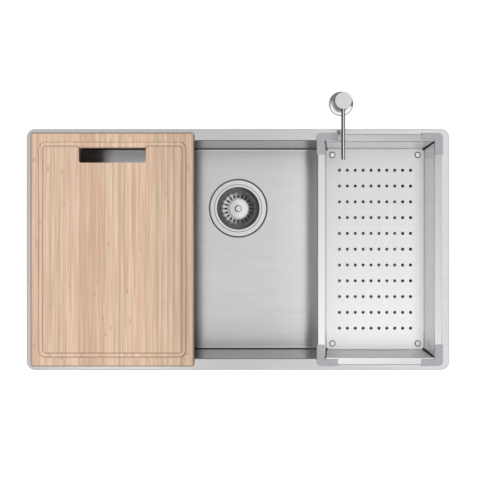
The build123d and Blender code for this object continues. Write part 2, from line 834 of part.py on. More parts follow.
# Soap pump: everything turned about its own upright axis, heights from the worktop
pump_y = rim_depth / 2 + pump_setback
pump_section = section_at(pump_x, pump_y, 0)
pump_axis = upright_at(pump_x, pump_y)
pump_level = level_at(pump_x, pump_y, 0)
shank_top = collar_seal_t + shank_socket
shank_end = shank_top - shank_length
shank_bore_r = shank_r - shank_wall
cylinder_end = neck_top - cylinder_length
cylinder_bore_r = cylinder_r - cylinder_wall
chamber_top = neck_top + cylinder_flange_t - cylinder_cap
chamber_end = cylinder_end + cylinder_floor
piston_top = neck_top - piston_drop + piston_h
piston_end = piston_top - piston_h
head_z = neck_top + cylinder_flange_t + pump_clear + pump_travel
head_top = head_z + head_h
rod_top = head_z + rod_grip
nozzle_z = head_top - nozzle_drop

with BuildPart() as collar_seal:
    with BuildSketch(pump_level):
        Circle(collar_r - 1)
        Circle(shank_r + 6 * fit_gap, mode=Mode.SUBTRACT)
    extrude(amount=collar_seal_t)
finish(collar_seal, "collar_seal")

with BuildPart() as dispenser_collar:
    with BuildSketch(pump_section) as collar_shape:
        with BuildLine():
            Polyline(
                (shank_r + fit_gap, collar_seal_t),
                (collar_r, collar_seal_t),
                (collar_r, collar_seal_t + collar_edge_h),
                (neck_r, collar_h),
                (neck_r, neck_top),
                (cylinder_r + fit_gap, neck_top),
                (cylinder_r + fit_gap, shank_top),
                (shank_r + fit_gap, shank_top),
                close=True,
            )
        make_face()
        bends = collar_shape.vertices().sort_by_distance((neck_r, collar_h, 0))[0]
        fillet(bends, 3)
        rim_edge = collar_shape.vertices()
        rim_edge = rim_edge.sort_by_distance((collar_r, collar_seal_t + collar_edge_h, 0))[0]
        fillet(rim_edge, 1.5)
    revolve(axis=pump_axis)
finish(dispenser_collar, "dispenser_collar")

with BuildPart() as dispenser_shank:
    with BuildSketch(pump_level.offset(shank_end + bottle_thread_h)):
        Circle(shank_r)
    extrude(amount=shank_length - bottle_thread_h)
    with BuildSketch(pump_level.offset(shank_end)):
        Circle(bottle_thread_r)
    extrude(amount=bottle_thread_h)
    with BuildSketch(pump_level.offset(shank_end)):
        Circle(shank_bore_r)
    extrude(amount=shank_length, mode=Mode.SUBTRACT)
finish(dispenser_shank, "dispenser_shank")

with BuildPart() as shank_washer:
    with BuildSketch(pump_level.offset(-worktop - shank_washer_t)):
        Circle(shank_washer_r)
        Circle(shank_r + 6 * fit_gap, mode=Mode.SUBTRACT)
    extrude(amount=shank_washer_t)
finish(shank_washer, "shank_washer")

with BuildPart() as shank_nut:
    with BuildSketch(pump_level.offset(-worktop - shank_washer_t - shank_nut_h)):
        RegularPolygon(shank_nut_flats / 2, 6, major_radius=False)
        Circle(shank_r + fit_gap, mode=Mode.SUBTRACT)
    extrude(amount=shank_nut_h)
finish(shank_nut, "shank_nut")

with BuildPart() as pump_cylinder:
    with BuildSketch(pump_section):
        with BuildLine():
            Polyline(
                (rod_r + rod_gap, neck_top + cylinder_flange_t),
                (cylinder_flange_r, neck_top + cylinder_flange_t),
                (cylinder_flange_r, neck_top),
                (cylinder_r, neck_top),
                (cylinder_r, cylinder_end),
                (nipple_r, cylinder_end),
                (nipple_r, cylinder_end - nipple_length),
                (inlet_r, cylinder_end - nipple_length),
                (inlet_r, chamber_end),
                (cylinder_bore_r, chamber_end),
                (cylinder_bore_r, chamber_top),
                (rod_r + rod_gap, chamber_top),
                close=True,
            )
        make_face()
    revolve(axis=pump_axis)
finish(pump_cylinder, "pump_cylinder")

with BuildPart() as inlet_ball:
    seat = (ball_r**2 - inlet_r**2) ** 0.5
    with BuildSketch(pump_section):
        with BuildLine():
            CenterArc((0, chamber_end + seat + fit_gap), ball_r, -90, 180)
            Line((0, chamber_end + seat + fit_gap + ball_r), (0, chamber_end + seat + fit_gap - ball_r))
        make_face()
    revolve(axis=pump_axis)
finish(inlet_ball, "inlet_ball")

with BuildPart() as dip_tube:
    dip_top = cylinder_end - 1
    dip_end = dip_top - dip_length
    with BuildSketch(pump_level.offset(dip_end)):
        Circle(nipple_r + fit_gap + dip_wall)
        Circle(nipple_r + fit_gap, mode=Mode.SUBTRACT)
    extrude(amount=dip_top - dip_end)
finish(dip_tube, "dip_tube")

# Spring between the chamber floor and the piston, one coiled wire of square section
with BuildPart() as pump_spring:
    coil_low = chamber_end + spring_wire / 2 + fit_gap
    coil_high = piston_end - spring_wire / 2 - fit_gap
    coil_h = coil_high - coil_low
    with BuildLine(pump_level.offset(coil_low)) as coil:
        Helix(coil_h / spring_turns, coil_h, spring_r)
    coil_path = coil.wires()[0]
    with BuildSketch(Plane(origin=coil_path @ 0, x_dir=(1, 0, 0), z_dir=coil_path % 0)):
        Rectangle(spring_wire, spring_wire)
    sweep(path=coil_path, is_frenet=True)
finish(pump_spring, "pump_spring")

with BuildPart() as pump_piston:
    piston_r = cylinder_bore_r - piston_gap
    groove_z = piston_top - piston_h / 2
    groove_floor = piston_r - 2 * ring_wire_r
    with BuildSketch(pump_section):
        with BuildLine():
            Polyline(
                (rod_bore_r, rod_top),
                (rod_r, rod_top),
                (rod_r, piston_top),
                (piston_r, piston_top),
                (piston_r, groove_z + ring_wire_r + fit_gap),
                (groove_floor, groove_z + ring_wire_r + fit_gap),
                (groove_floor, groove_z - ring_wire_r - fit_gap),
                (piston_r, groove_z - ring_wire_r - fit_gap),
                (piston_r, piston_end),
                (rod_bore_r, piston_end),
                close=True,
            )
        make_face()
    revolve(axis=pump_axis)
finish(pump_piston, "pump_piston")

with BuildPart() as piston_ring:
    with BuildSketch(pump_section):
        with Locations((piston_r + fit_gap - ring_wire_r, groove_z)):
            Circle(ring_wire_r)
    revolve(axis=pump_axis)
finish(piston_ring, "piston_ring")

# Head: turned button with a socket for the rod and a side bore for the nozzle
nozzle_plane = Plane(origin=(pump_x, pump_y, nozzle_z), x_dir=(1, 0, 0), z_dir=(0, -1, 0))
nozzle_start = head_r - nozzle_grip
with BuildPart() as pump_head:
    with BuildSketch(pump_level.offset(head_z)):
        Circle(head_r)
    extrude(amount=head_h)
    fillet(pump_head.edges().group_by(Axis.Z)[-1], head_edge_r)
    fillet(pump_head.edges().group_by(Axis.Z)[0], head_edge_r)
    with BuildSketch(pump_level.offset(head_z)):
        Circle(rod_r + fit_gap)
    extrude(amount=rod_grip, mode=Mode.SUBTRACT)
    with BuildSketch(pump_level.offset(head_z)):
        Circle(rod_bore_r)
    extrude(amount=nozzle_z - head_z, mode=Mode.SUBTRACT)
    with BuildSketch(nozzle_plane):
        Circle(rod_bore_r)
    extrude(amount=head_r, mode=Mode.SUBTRACT)
    with BuildSketch(nozzle_plane.offset(nozzle_start)):
        Circle(nozzle_r + fit_gap)
    extrude(amount=2 * nozzle_grip, mode=Mode.SUBTRACT)
finish(pump_head, "pump_head")

with BuildPart() as pump_nozzle:
    with BuildSketch(nozzle_plane.offset(nozzle_start)):
        Circle(nozzle_r)
        Circle(nozzle_r - nozzle_wall, mode=Mode.SUBTRACT)
    extrude(amount=nozzle_reach - nozzle_start)
    tip_y = pump_y - nozzle_reach
    with BuildSketch(Plane(origin=(pump_x, tip_y, nozzle_z), x_dir=(0, 1, 0), z_dir=(1, 0, 0))):
        with BuildLine():
            Polyline(
                (-1, nozzle_r),
                (0, nozzle_r),
                (nozzle_mitre, -nozzle_r),
                (-1, -nozzle_r),
                close=True,
            )
        make_face()
    extrude(amount=2 * nozzle_r, both=True, mode=Mode.SUBTRACT)
finish(pump_nozzle, "pump_nozzle")
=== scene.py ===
# %% [markdown]
# # An inset kitchen sink, seen from straight above
#
# The sink, its board, its colander and its soap pump come as a finished set of solids. This
# lesson gives each of them its finish, adds the small repeated details, and sets up a plain
# studio. The solids stay where they are: a finish is assigned to them, and new pieces are
# built round them in the same frame, in metres.

# %% Load the solids
import json
import math

import bpy
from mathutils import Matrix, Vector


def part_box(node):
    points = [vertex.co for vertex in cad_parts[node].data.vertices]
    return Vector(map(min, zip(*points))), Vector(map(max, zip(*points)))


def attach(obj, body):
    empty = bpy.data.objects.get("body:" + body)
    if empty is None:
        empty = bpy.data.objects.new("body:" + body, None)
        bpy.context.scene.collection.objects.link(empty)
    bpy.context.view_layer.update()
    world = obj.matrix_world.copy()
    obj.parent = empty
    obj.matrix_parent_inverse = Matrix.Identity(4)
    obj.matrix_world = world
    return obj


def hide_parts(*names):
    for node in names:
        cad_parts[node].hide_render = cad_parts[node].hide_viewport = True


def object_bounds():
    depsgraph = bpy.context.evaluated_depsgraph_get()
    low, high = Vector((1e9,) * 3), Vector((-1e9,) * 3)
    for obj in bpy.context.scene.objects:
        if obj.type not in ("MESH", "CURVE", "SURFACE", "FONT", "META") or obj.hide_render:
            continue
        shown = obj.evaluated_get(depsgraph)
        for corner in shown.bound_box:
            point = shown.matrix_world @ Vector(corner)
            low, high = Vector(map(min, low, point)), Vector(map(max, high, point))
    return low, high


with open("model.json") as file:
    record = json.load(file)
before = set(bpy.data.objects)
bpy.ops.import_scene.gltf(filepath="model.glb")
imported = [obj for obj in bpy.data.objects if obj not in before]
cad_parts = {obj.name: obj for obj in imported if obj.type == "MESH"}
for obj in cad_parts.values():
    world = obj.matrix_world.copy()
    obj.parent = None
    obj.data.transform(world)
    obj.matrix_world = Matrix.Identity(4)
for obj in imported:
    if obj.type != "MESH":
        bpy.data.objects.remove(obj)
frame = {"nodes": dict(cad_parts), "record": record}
solids = frame["nodes"]
cad_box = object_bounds()
print("solids:", len(solids), "lowest corner", tuple(round(v, 4) for v in cad_box[0]))

# %% [markdown]
# ## A short way to write node trees
#
# Every finish below is a tree of shader nodes. Adding a node, setting it and wiring it takes
# three or four lines each time, so one helper does it: it sets the node's options, and then
# either links a socket or types a value into it. The others are built on it. They do sums, mix
# two colours, and turn one range of values into another. A hill is nothing at first, rises, and
# falls back to nothing, which makes a soft mask for a strip of a surface.

# %% Helpers for sums and masks
def put(tree, kind, feeds=None, **options):
    node = tree.nodes.new(kind)
    for name, value in options.items():
        setattr(node, name, value)
    for name, source in (feeds or {}).items():
        if isinstance(source, bpy.types.NodeSocket):
            tree.links.new(source, node.inputs[name])
        else:
            node.inputs[name].default_value = source
    return node


def calc(tree, operation, *terms):
    return put(tree, "ShaderNodeMath", dict(enumerate(terms)), operation=operation).outputs[0]


def plus(tree, first, second):
    return calc(tree, "ADD", first, second)


def minus(tree, first, second):
    return calc(tree, "SUBTRACT", first, second)


def times(tree, first, second):
    return calc(tree, "MULTIPLY", first, second)


def mixed(tree, share, first, second):
    feeds = {0: share, 6: first, 7: second}
    return put(tree, "ShaderNodeMix", feeds, data_type="RGBA").outputs[2]


def ranged(tree, value, low, high, to_low, to_high, smooth=False):
    feeds = {0: value, 1: low, 2: high, 3: to_low, 4: to_high}
    kind = "SMOOTHSTEP" if smooth else "LINEAR"
    return put(tree, "ShaderNodeMapRange", feeds, interpolation_type=kind).outputs[0]


def hill(tree, value, foot, top, top_end, foot_end, height=1.0, smooth=False):
    rise = ranged(tree, value, foot, top, 0.0, height, smooth)
    return times(tree, rise, ranged(tree, value, top_end, foot_end, 1.0, 0.0, smooth))


print("helpers for sums and masks ready")

# %% [markdown]
# A finish has to know where a point lies and which way its face looks. Both are vectors, so a
# second set of helpers fetches them, takes them apart, puts them together and measures them.
# The place is always the object's own coordinate, so a finish moves along with its piece.

# %% Helpers for places and directions
def place_in(tree):
    return put(tree, "ShaderNodeTexCoord").outputs["Object"]


def look_in(tree):
    return put(tree, "ShaderNodeNewGeometry").outputs["Normal"]


def parts_of(tree, vector):
    return put(tree, "ShaderNodeSeparateXYZ", {0: vector}).outputs


def joined(tree, x, y, z=0.0):
    return put(tree, "ShaderNodeCombineXYZ", {0: x, 1: y, 2: z}).outputs[0]


def scaled(tree, vector, factors):
    feeds = {0: vector, 1: factors}
    return put(tree, "ShaderNodeVectorMath", feeds, operation="MULTIPLY").outputs[0]


def length_of(tree, vector):
    return put(tree, "ShaderNodeVectorMath", {0: vector}, operation="LENGTH").outputs["Value"]


def agreement(tree, first, second):
    feeds = {0: first, 1: second}
    return put(tree, "ShaderNodeVectorMath", feeds, operation="DOT_PRODUCT").outputs["Value"]


def noise(tree, vector, scale=1.0, detail=2.0):
    feeds = {"Vector": vector, "Scale": scale, "Detail": detail}
    return put(tree, "ShaderNodeTexNoise", feeds).outputs[0]


print("helpers for places and directions ready")

# %% [markdown]
# ## Effects that several finishes share
#
# Brushed sheet has fine lines in one direction. On the flat faces and on the front and back
# walls they run along the sink, and on the end walls they run the other way. Stretched noise
# gives such lines: the pattern is squeezed far more across them than along them. The group gives
# out a tone, a wider band and a height, and each metal mixes them in by its own amount.

# %% A group for the brushed grain
def new_group(name, inputs, outputs):
    group = bpy.data.node_groups.new(name, "ShaderNodeTree")
    for title, value in inputs:
        socket = group.interface.new_socket(title, in_out="INPUT", socket_type="NodeSocketFloat")
        socket.default_value = value
    for title in outputs:
        group.interface.new_socket(title, in_out="OUTPUT", socket_type="NodeSocketFloat")
    start = group.nodes.new("NodeGroupInput").outputs
    end = group.nodes.new("NodeGroupOutput").inputs
    return group, start, end


line_depth = 0.00002
grain, given, made = new_group(
    "brushed grain",
    [("Line length", 0.15), ("Line width", 0.0006), ("Band width", 0.007)],
    ["Tone", "Band", "Height"],
)
place = place_in(grain)
sideways = calc(grain, "ABSOLUTE", parts_of(grain, look_in(grain))[0])
end_wall = calc(grain, "GREATER_THAN", sideways, 0.75)
along = calc(grain, "DIVIDE", 1.0, given["Line length"])


def grain_lines(width):
    across = calc(grain, "DIVIDE", 1.0, width)
    rows = joined(grain, along, across, across)
    ends = joined(grain, across, along, across)
    pick = put(grain, "ShaderNodeMix", {0: end_wall, 4: rows, 5: ends}, data_type="VECTOR")
    return noise(grain, scaled(grain, place, pick.outputs[1]))


fine_lines = grain_lines(given["Line width"])
grain.links.new(fine_lines, made["Tone"])
grain.links.new(grain_lines(given["Band width"]), made["Band"])
grain.links.new(times(grain, fine_lines, line_depth), made["Height"])
print("group:", grain.name, [item.name for item in grain.interface.items_tree])

# %% [markdown]
# Hands leave soft, cloudy marks on every smooth surface. They change how sharp a reflection
# is far more than they change a colour. One cloudy noise with a raised floor makes such a
# mask, and a second, tighter one breaks it up. Moulded plastic and rubber get a fine speckle
# from a third group, so that no surface is one flat colour.

# %% Groups for handling marks and for moulded speckle
dot_depth = 0.00004
clouds_per_metre = 35.0

marks, given, made = new_group("handling marks", [("Size", 0.08)], ["Mask"])
place = place_in(marks)
per_metre = calc(marks, "DIVIDE", 1.0, given["Size"])
cloud = ranged(marks, noise(marks, place, per_metre, 3.0), 0.42, 0.72, 0.0, 1.0, True)
broken = noise(marks, place, times(marks, per_metre, 6.0), 4.0)
marks.links.new(times(marks, cloud, broken), made["Mask"])

speckle, given, made = new_group("moulded speckle", [("Size", 0.0008)], ["Tone", "Height"])
place = place_in(speckle)
dots = noise(speckle, place, calc(speckle, "DIVIDE", 1.0, given["Size"]))
cloud = noise(speckle, place, clouds_per_metre)
both = plus(speckle, times(speckle, dots, 0.5), times(speckle, cloud, 0.5))
speckle.links.new(both, made["Tone"])
speckle.links.new(times(speckle, dots, dot_depth), made["Height"])
print("groups:", marks.name, "and", speckle.name)

# %% [markdown]
# ## Steel in five finishes
#
# The bowl is brushed, the rim is brushed finer, the colander has a satin, the strainer is
# polished and the rivets are blasted. All five are one recipe: a metal whose colour moves a few
# percent with the grain, whose roughness rises under handling marks, and whose normal follows
# the brushed height. The edge value darkens walls that are seen at a flat angle, and on brushed
# sheet the reflections are stretched across the lines. The bare share is the part of the light
# that is mirrored, and fine scratches scatter the rest. Only the numbers differ, so one function
# makes them.

# %% The metal recipe
def grey(level):
    return (level, level, level, 1)


def new_finish(name, **fixed):
    finish = bpy.data.materials.new(name)
    finish.use_nodes = True
    tree = finish.node_tree
    shader = tree.nodes["Principled BSDF"]
    for title, value in fixed.items():
        shader.inputs[title.replace("_", " ")].default_value = value
    return finish, tree, shader


def grouped(tree, group, values):
    node = put(tree, "ShaderNodeGroup", node_tree=group)
    for title, value in values.items():
        node.inputs[title].default_value = value
    return node.outputs


def raised(tree, shader, height, strength):
    feeds = {"Height": height, "Strength": strength, "Distance": 1.0}
    tree.links.new(put(tree, "ShaderNodeBump", feeds).outputs[0], shader.inputs["Normal"])


def metal(name, dark, light, rough, bump, lines=None, band_share=0.3, edge=0.8, stretch=0.0, bare=1.0):
    finish, tree, shader = new_finish(
        name, Metallic=bare, Specular_Tint=grey(edge), Anisotropic=stretch)
    sheet = grouped(tree, grain, lines or {})
    tone = plus(tree, times(tree, sheet["Tone"], 1.0 - band_share),
                times(tree, sheet["Band"], band_share))
    tone = ranged(tree, tone, 0.3, 0.7, 0.0, 1.0)
    tree.links.new(mixed(tree, tone, (*dark, 1), (*light, 1)), shader.inputs["Base Color"])
    hands = grouped(tree, marks, {})["Mask"]
    gloss = ranged(tree, hands, 0.0, 0.6, rough, rough + 0.03)
    gloss = plus(tree, gloss, times(tree, sheet["Band"], 0.02))
    tree.links.new(gloss, shader.inputs["Roughness"])
    raised(tree, shader, sheet["Height"], bump)
    if stretch:
        turn = put(tree, "ShaderNodeTangent", direction_type="RADIAL", axis="X")
        tree.links.new(turn.outputs[0], shader.inputs["Tangent"])
    return finish


brushed = metal("brushed steel", (0.675, 0.675, 0.675), (0.735, 0.735, 0.73), rough=0.155, bump=0.06,
                edge=0.67, stretch=0.72, bare=0.79)
rim_steel = metal("rim steel", (0.605, 0.605, 0.605), (0.66, 0.66, 0.655), rough=0.13, bump=0.015,
                  edge=0.67, stretch=0.6, bare=0.82)
satin = metal("satin steel", (0.725, 0.725, 0.728), (0.765, 0.765, 0.765), rough=0.27, bump=0.15,
              lines={"Line length": 0.004, "Line width": 0.0022, "Band width": 0.004},
              band_share=0.6, edge=0.86, bare=0.6)
polished = metal("polished steel", (0.80, 0.80, 0.80), (0.88, 0.88, 0.88), rough=0.07, bump=0.1,
                 lines={"Line length": 0.02, "Line width": 0.0008})
rivet_steel = metal("rivet steel", (0.93, 0.93, 0.93), (0.99, 0.99, 0.99), rough=0.33, bump=0.1,
                    lines={"Line length": 0.004, "Line width": 0.0008})
print("steels:", brushed.name, rim_steel.name, satin.name, polished.name, rivet_steel.name)

# %% [markdown]
# The bowl is one sheet of one colour, but uneven light falls into it. Its floor is brighter
# towards the colander, dim along the board's edge, and below the board's slot it is dim on the
# left and bright on the right. The room that this light comes from isn't known, so the finish
# holds these tones as painted light and shade, where each can be changed by itself. The walls are
# painted a little darker than the floor and the folds between them darkest, as painted shade. The
# coordinate tells where a point of the floor lies, and the direction that a face looks in tells
# floor, fold and wall apart.

# %% The bowl's painted light and shade
def opened(finish):
    tree = finish.node_tree
    shader = tree.nodes["Principled BSDF"]
    return tree, shader, shader.inputs["Base Color"].links[0].from_socket


slot_start, slot_full = 0.12, 0.165
bright_span = (-0.28, -0.23, -0.18, -0.12)
dim_span = (-0.34, -0.32, -0.265, -0.235)
board_span = (-0.13, -0.10, -0.083, -0.076)
wall_end, floor_start = -0.18, -0.19
fold_looks = (0.1, 0.3, 0.8, 0.95)

tree, shader, clean = opened(brushed)
spot_x, spot_y, spot_z = parts_of(tree, place_in(tree))
# Painted light and shade on the bowl's floor: bright and dim under the slot, brighter towards the
# colander, dim beside the board.
under_slot = ranged(tree, spot_y, slot_start, slot_full, 0.0, 1.0, True)
bright_side = hill(tree, spot_x, *bright_span, 0.5, True)
dim_side = hill(tree, spot_x, *dim_span, 0.42, True)
slot_light = times(tree, under_slot, minus(tree, bright_side, dim_side))
colander_side_light = calc(tree, "POWER", ranged(tree, spot_x, 0.03, 0.13, 0.0, 1.0), 2.6)
colander_side_light = times(tree, colander_side_light, ranged(tree, spot_x, 0.14, 0.16, 0.3, 0.0, True))
beside_board_shade = hill(tree, spot_x, *board_span, 0.46)
painted_floor_light = plus(tree, slot_light, minus(tree, colander_side_light, beside_board_shade))
painted_floor_light = times(tree, painted_floor_light, ranged(tree, spot_z, wall_end, floor_start, 0.0, 1.0))
# Painted shade: darkest in the folds, and a little darker on the walls.
looks_up = parts_of(tree, look_in(tree))[2]
painted_fold_shade = hill(tree, looks_up, *fold_looks, 0.58)
painted_wall_shade = ranged(tree, calc(tree, "ABSOLUTE", looks_up), 0.05, 0.2, 0.13, 0.0)
tone = minus(tree, plus(tree, 1.0, painted_floor_light), plus(tree, painted_fold_shade, painted_wall_shade))
tree.links.new(scaled(tree, clean, tone), shader.inputs["Base Color"])
print("toned:", brushed.name)

# %% [markdown]
# The tray is folded from one sheet, so the rolling marks of the sheet run on from the floor into
# the walls. Its floor grows paler towards the front, its rim towards the left, and the front
# wall is duller than the others. These tones, too, are painted light that stands in for the light
# of the room. The bends along the front and the back are painted dark as shade, and so is the cut
# edge that lies on the sink's rim, as a thin painted contact shadow. Places are found by the
# coordinate, and a bend by a face that looks neither up nor sideways.

# %% The tray's painted light and shade
def switched(tree, choice, first, second):
    return put(tree, "ShaderNodeMix", {0: choice, 2: first, 3: second}).outputs[0]


def above(tree, value, limit):
    return calc(tree, "GREATER_THAN", value, limit)


def below(tree, value, limit):
    return calc(tree, "LESS_THAN", value, limit)


tray_low, tray_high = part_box("colander_tray")
wall_foot = tray_low.z + 0.012
wall_top = tray_high.z - 0.003
rim_level = tray_high.z - 0.0012
rim_bend = tray_high.z - 0.006
sheet_edge = tray_high.y - 0.0009
right_side = (tray_high.x - 0.065, tray_high.x - 0.022)
far_out = 0.15

tree, shader, clean = opened(satin)
spot_x, spot_y, spot_z = parts_of(tree, place_in(tree))
from_middle = calc(tree, "ABSOLUTE", spot_y)
# Painted light: the floor paler to the front, the rim paler to the left, the front wall darker.
to_back = ranged(tree, spot_y, tray_low.y, tray_high.y, 1.12, 0.83)
by_wall = ranged(tree, spot_x, *right_side, 0.0, 0.12)
rim_tone = ranged(tree, spot_x, tray_low.x, tray_high.x, 0.03, -0.21)
rim_tone = minus(tree, rim_tone, ranged(tree, spot_y, 0.15, 0.2, 0.0, 0.06))
rim_tone = minus(tree, rim_tone, ranged(tree, spot_y, -0.2, -0.17, 0.08, 0.0))
tone = plus(tree, to_back, switched(tree, above(tree, spot_z, rim_level), by_wall, rim_tone))
on_wall = times(tree, above(tree, spot_z, wall_foot), below(tree, spot_z, wall_top))
wall_tone = ranged(tree, spot_y, -0.195, -0.17, 0.78, 1.22)
tone = switched(tree, on_wall, tone, wall_tone)

# Painted shade: dark bends at the front and back, and a painted contact shadow along the cut edges.
bend = hill(tree, parts_of(tree, look_in(tree))[2], *fold_looks)
top_bend = times(tree, above(tree, spot_z, rim_bend), above(tree, from_middle, far_out))
low_bend = times(tree, below(tree, spot_z, wall_foot), below(tree, spot_y, -far_out))
bend = times(tree, bend, calc(tree, "MAXIMUM", top_bend, low_bend))
painted_edge_shade = calc(tree, "MAXIMUM", bend, above(tree, from_middle, sheet_edge))
tone = times(tree, tone, ranged(tree, painted_edge_shade, 0.0, 1.0, 1.0, 0.4))
tree.links.new(scaled(tree, clean, tone), shader.inputs["Base Color"])
print("tray from", round(tray_low.y, 4), "to", round(tray_high.y, 4))

# %% [markdown]
# The strainer is polished on its flange, on the rim of its basket and on its raised middle. The
# cup and the fluted cone are dull, and both are painted dark as shade: the cup below the basket
# almost black, and the twenty flutes darkest, as shade in their grooves. The left side differs
# from the right, which is painted light that again stands in for the light of the room. A thin
# painted shadow runs round the basket's rim on the flange, and the knob's edge is painted dark
# as shade. The distance from the drain's axis tells these zones apart, and the angle round the
# axis gives the side and finds the flutes. So each part gets a copy of the polished finish with
# its zones mixed in. A zone is two radii, a grey for its right side and one for its left, a
# roughness, and a share of scattered light.

# %% The strainer's zones of painted light and shade
drain_low, drain_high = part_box("waste_housing")
drain_y = (drain_low.y + drain_high.y) / 2
flute_pitch = 2 * math.pi / 20
flute_core, flute_half = 0.0008, 0.0017
flute_span = (0.0225, 0.0235, 0.0335, 0.0355)
zone_edge = 0.0006


def copied(finish, name):
    twin = finish.copy()
    twin.name = name
    return twin, *opened(twin)


def from_axis(tree, axis_x, axis_y):
    feeds = {0: place_in(tree), 1: (axis_x, axis_y, 0.0)}
    apart = put(tree, "ShaderNodeVectorMath", feeds, operation="SUBTRACT").outputs[0]
    side = parts_of(tree, apart)
    return side[0], side[1], length_of(tree, scaled(tree, apart, (1, 1, 0)))


def flute_shade_lines(tree, side_x, side_y, radius, left):
    share = calc(tree, "DIVIDE", calc(tree, "ARCTAN2", side_y, side_x), flute_pitch)
    off_line = minus(tree, calc(tree, "FRACT", plus(tree, share, 0.5)), 0.5)
    off_line = times(tree, calc(tree, "ABSOLUTE", off_line), times(tree, radius, flute_pitch))
    line = ranged(tree, off_line, flute_core, flute_half, 0.75, 0.0, True)
    line = times(tree, line, hill(tree, radius, *flute_span))
    return times(tree, line, plus(tree, 0.35, times(tree, left, 0.65)))


def zoned(name, zones, fluted=False):
    finish, tree, shader, colour = copied(polished, name)
    gloss = shader.inputs["Roughness"].links[0].from_socket
    bare = 1.0
    side_x, side_y, radius = from_axis(tree, 0.0, drain_y)
    left = ranged(tree, calc(tree, "DIVIDE", side_x, radius), -0.9, 0.5, 1.0, 0.0, True)
    for inner, outer, right_grey, left_grey, rough, dull in zones:
        inside = hill(tree, radius, inner, inner + zone_edge, outer - zone_edge, outer)
        tone = mixed(tree, left, grey(right_grey), grey(left_grey))
        colour = mixed(tree, inside, colour, tone)
        gloss = calc(tree, "MAXIMUM", gloss, times(tree, inside, rough))
        bare = minus(tree, bare, times(tree, inside, dull))
    if fluted:
        # Painted shade in the flutes, stronger on the left.
        painted_flutes = flute_shade_lines(tree, side_x, side_y, radius, left)
        colour = mixed(tree, painted_flutes, colour, grey(0.10))
    tree.links.new(colour, shader.inputs["Base Color"])
    tree.links.new(gloss, shader.inputs["Roughness"])
    tree.links.new(bare, shader.inputs["Metallic"])
    print(name, "zones:", len(zones))
    return finish


# Painted light and shade, ring by ring: the raised middle lighter on the right, a dark crescent and a
# bright highlight at its edge, and the cone and band dark on the right, lighter on the left.
basket_steel = zoned("basket steel", [
    (0.0070, 0.0168, 0.92, 0.72, 0.12, 0.0),
    (0.0164, 0.0192, 0.85, 0.36, 0.07, 0.0),
    (0.0189, 0.0216, 0.80, 0.70, 0.20, 0.5),
    (0.0213, 0.0242, 0.20, 0.60, 0.30, 0.3),
    (0.0238, 0.0314, 0.16, 1.00, 0.36, 0.75),
    (0.0308, 0.0412, 0.52, 0.80, 0.35, 0.0),
], fluted=True)
# Painted shade: the cup almost black inside, and a thin dark ring on the flange just outside the
# basket's rim.
cup_steel = zoned("cup steel", [
    (-0.001, 0.0428, 0.05, 0.05, 0.40, 0.0),
    (0.0462, 0.0600, 0.82, 0.77, 0.07, 0.0),
    (0.0449, 0.0469, 0.30, 0.30, 0.07, 0.0),
])
# Painted shade: a dark ring round the knob's edge, black on the left and grey on the right.
knob_steel = zoned("knob steel", [(0.0044, 0.0070, 0.72, 0.03, 0.07, 0.0)])

# %% [markdown]
# The pump is chromed, which is a smooth metal with faint handling marks. The rounded foot of its
# collar shows as a dark line of painted shade, so a copy of the chrome has that line, found by the
# distance from the pump's axis. The nozzle is a thin tube with one bright stripe and dark sides,
# which are a painted highlight and painted dark reflections, and the direction that a face looks
# in tells the two apart. Screws and clamps are zinc plated, with a cool and slightly mottled
# tone, and the shank and the nut are turned brass. The same recipe makes them all, with wider
# speckle in place of long lines.

# %% Chrome, zinc and brass
chrome = metal("chrome", (0.68, 0.68, 0.69), (0.73, 0.73, 0.735), rough=0.04, bump=0.02,
               lines={"Line length": 0.01, "Line width": 0.004}, edge=0.35)
zinc = metal("zinc plate", (0.55, 0.57, 0.60), (0.68, 0.69, 0.70), rough=0.32, bump=0.3,
             lines={"Line length": 0.003, "Line width": 0.002, "Band width": 0.006}, band_share=0.6)
brass = metal("turned brass", (0.66, 0.51, 0.26), (0.76, 0.62, 0.36), rough=0.26, bump=0.4,
              lines={"Line length": 0.02, "Line width": 0.0004})

collar_low, collar_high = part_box("dispenser_collar")
collar_reach = (collar_high.x - collar_low.x) / 2
collar_middle = (collar_low + collar_high) / 2
foot_start, foot_full = collar_reach - 0.0014, collar_reach - 0.0007
collar_chrome, tree, shader, clean = copied(chrome, "collar chrome")
radius = from_axis(tree, collar_middle.x, collar_middle.y)[2]
# Painted shade: a dark line round the collar's foot.
painted_foot_shade = ranged(tree, radius, foot_start, foot_full, 0.0, 0.75)
tree.links.new(mixed(tree, painted_foot_shade, clean, (0.08, 0.08, 0.085, 1)), shader.inputs["Base Color"])

highlight_side = (0.28, 0.0, 0.96)
nozzle_chrome, tree, shader, clean = copied(chrome, "nozzle chrome")
facing = agreement(tree, put(tree, "ShaderNodeTexCoord").outputs["Normal"], highlight_side)
# Painted highlight: a bright stripe down the nozzle, with painted dark reflections at its sides.
painted_stripe_highlight = ranged(tree, facing, 0.75, 0.98, 0.03, 1.0)
tree.links.new(scaled(tree, clean, painted_stripe_highlight), shader.inputs["Base Color"])
shader.inputs["Specular Tint"].default_value = grey(0.05)
print("platings:", chrome.name, collar_chrome.name, nozzle_chrome.name, zinc.name, brass.name)

# %% [markdown]
# ## Plastic, rubber and foam
#
# The colander's corner guards are a matt, bluish grey plastic. The feet are black rubber, the
# housing and the inner pump parts are white, and the seals are black rubber. They share the
# speckle group: it moves the colour by a few percent and gives a fine moulded texture.

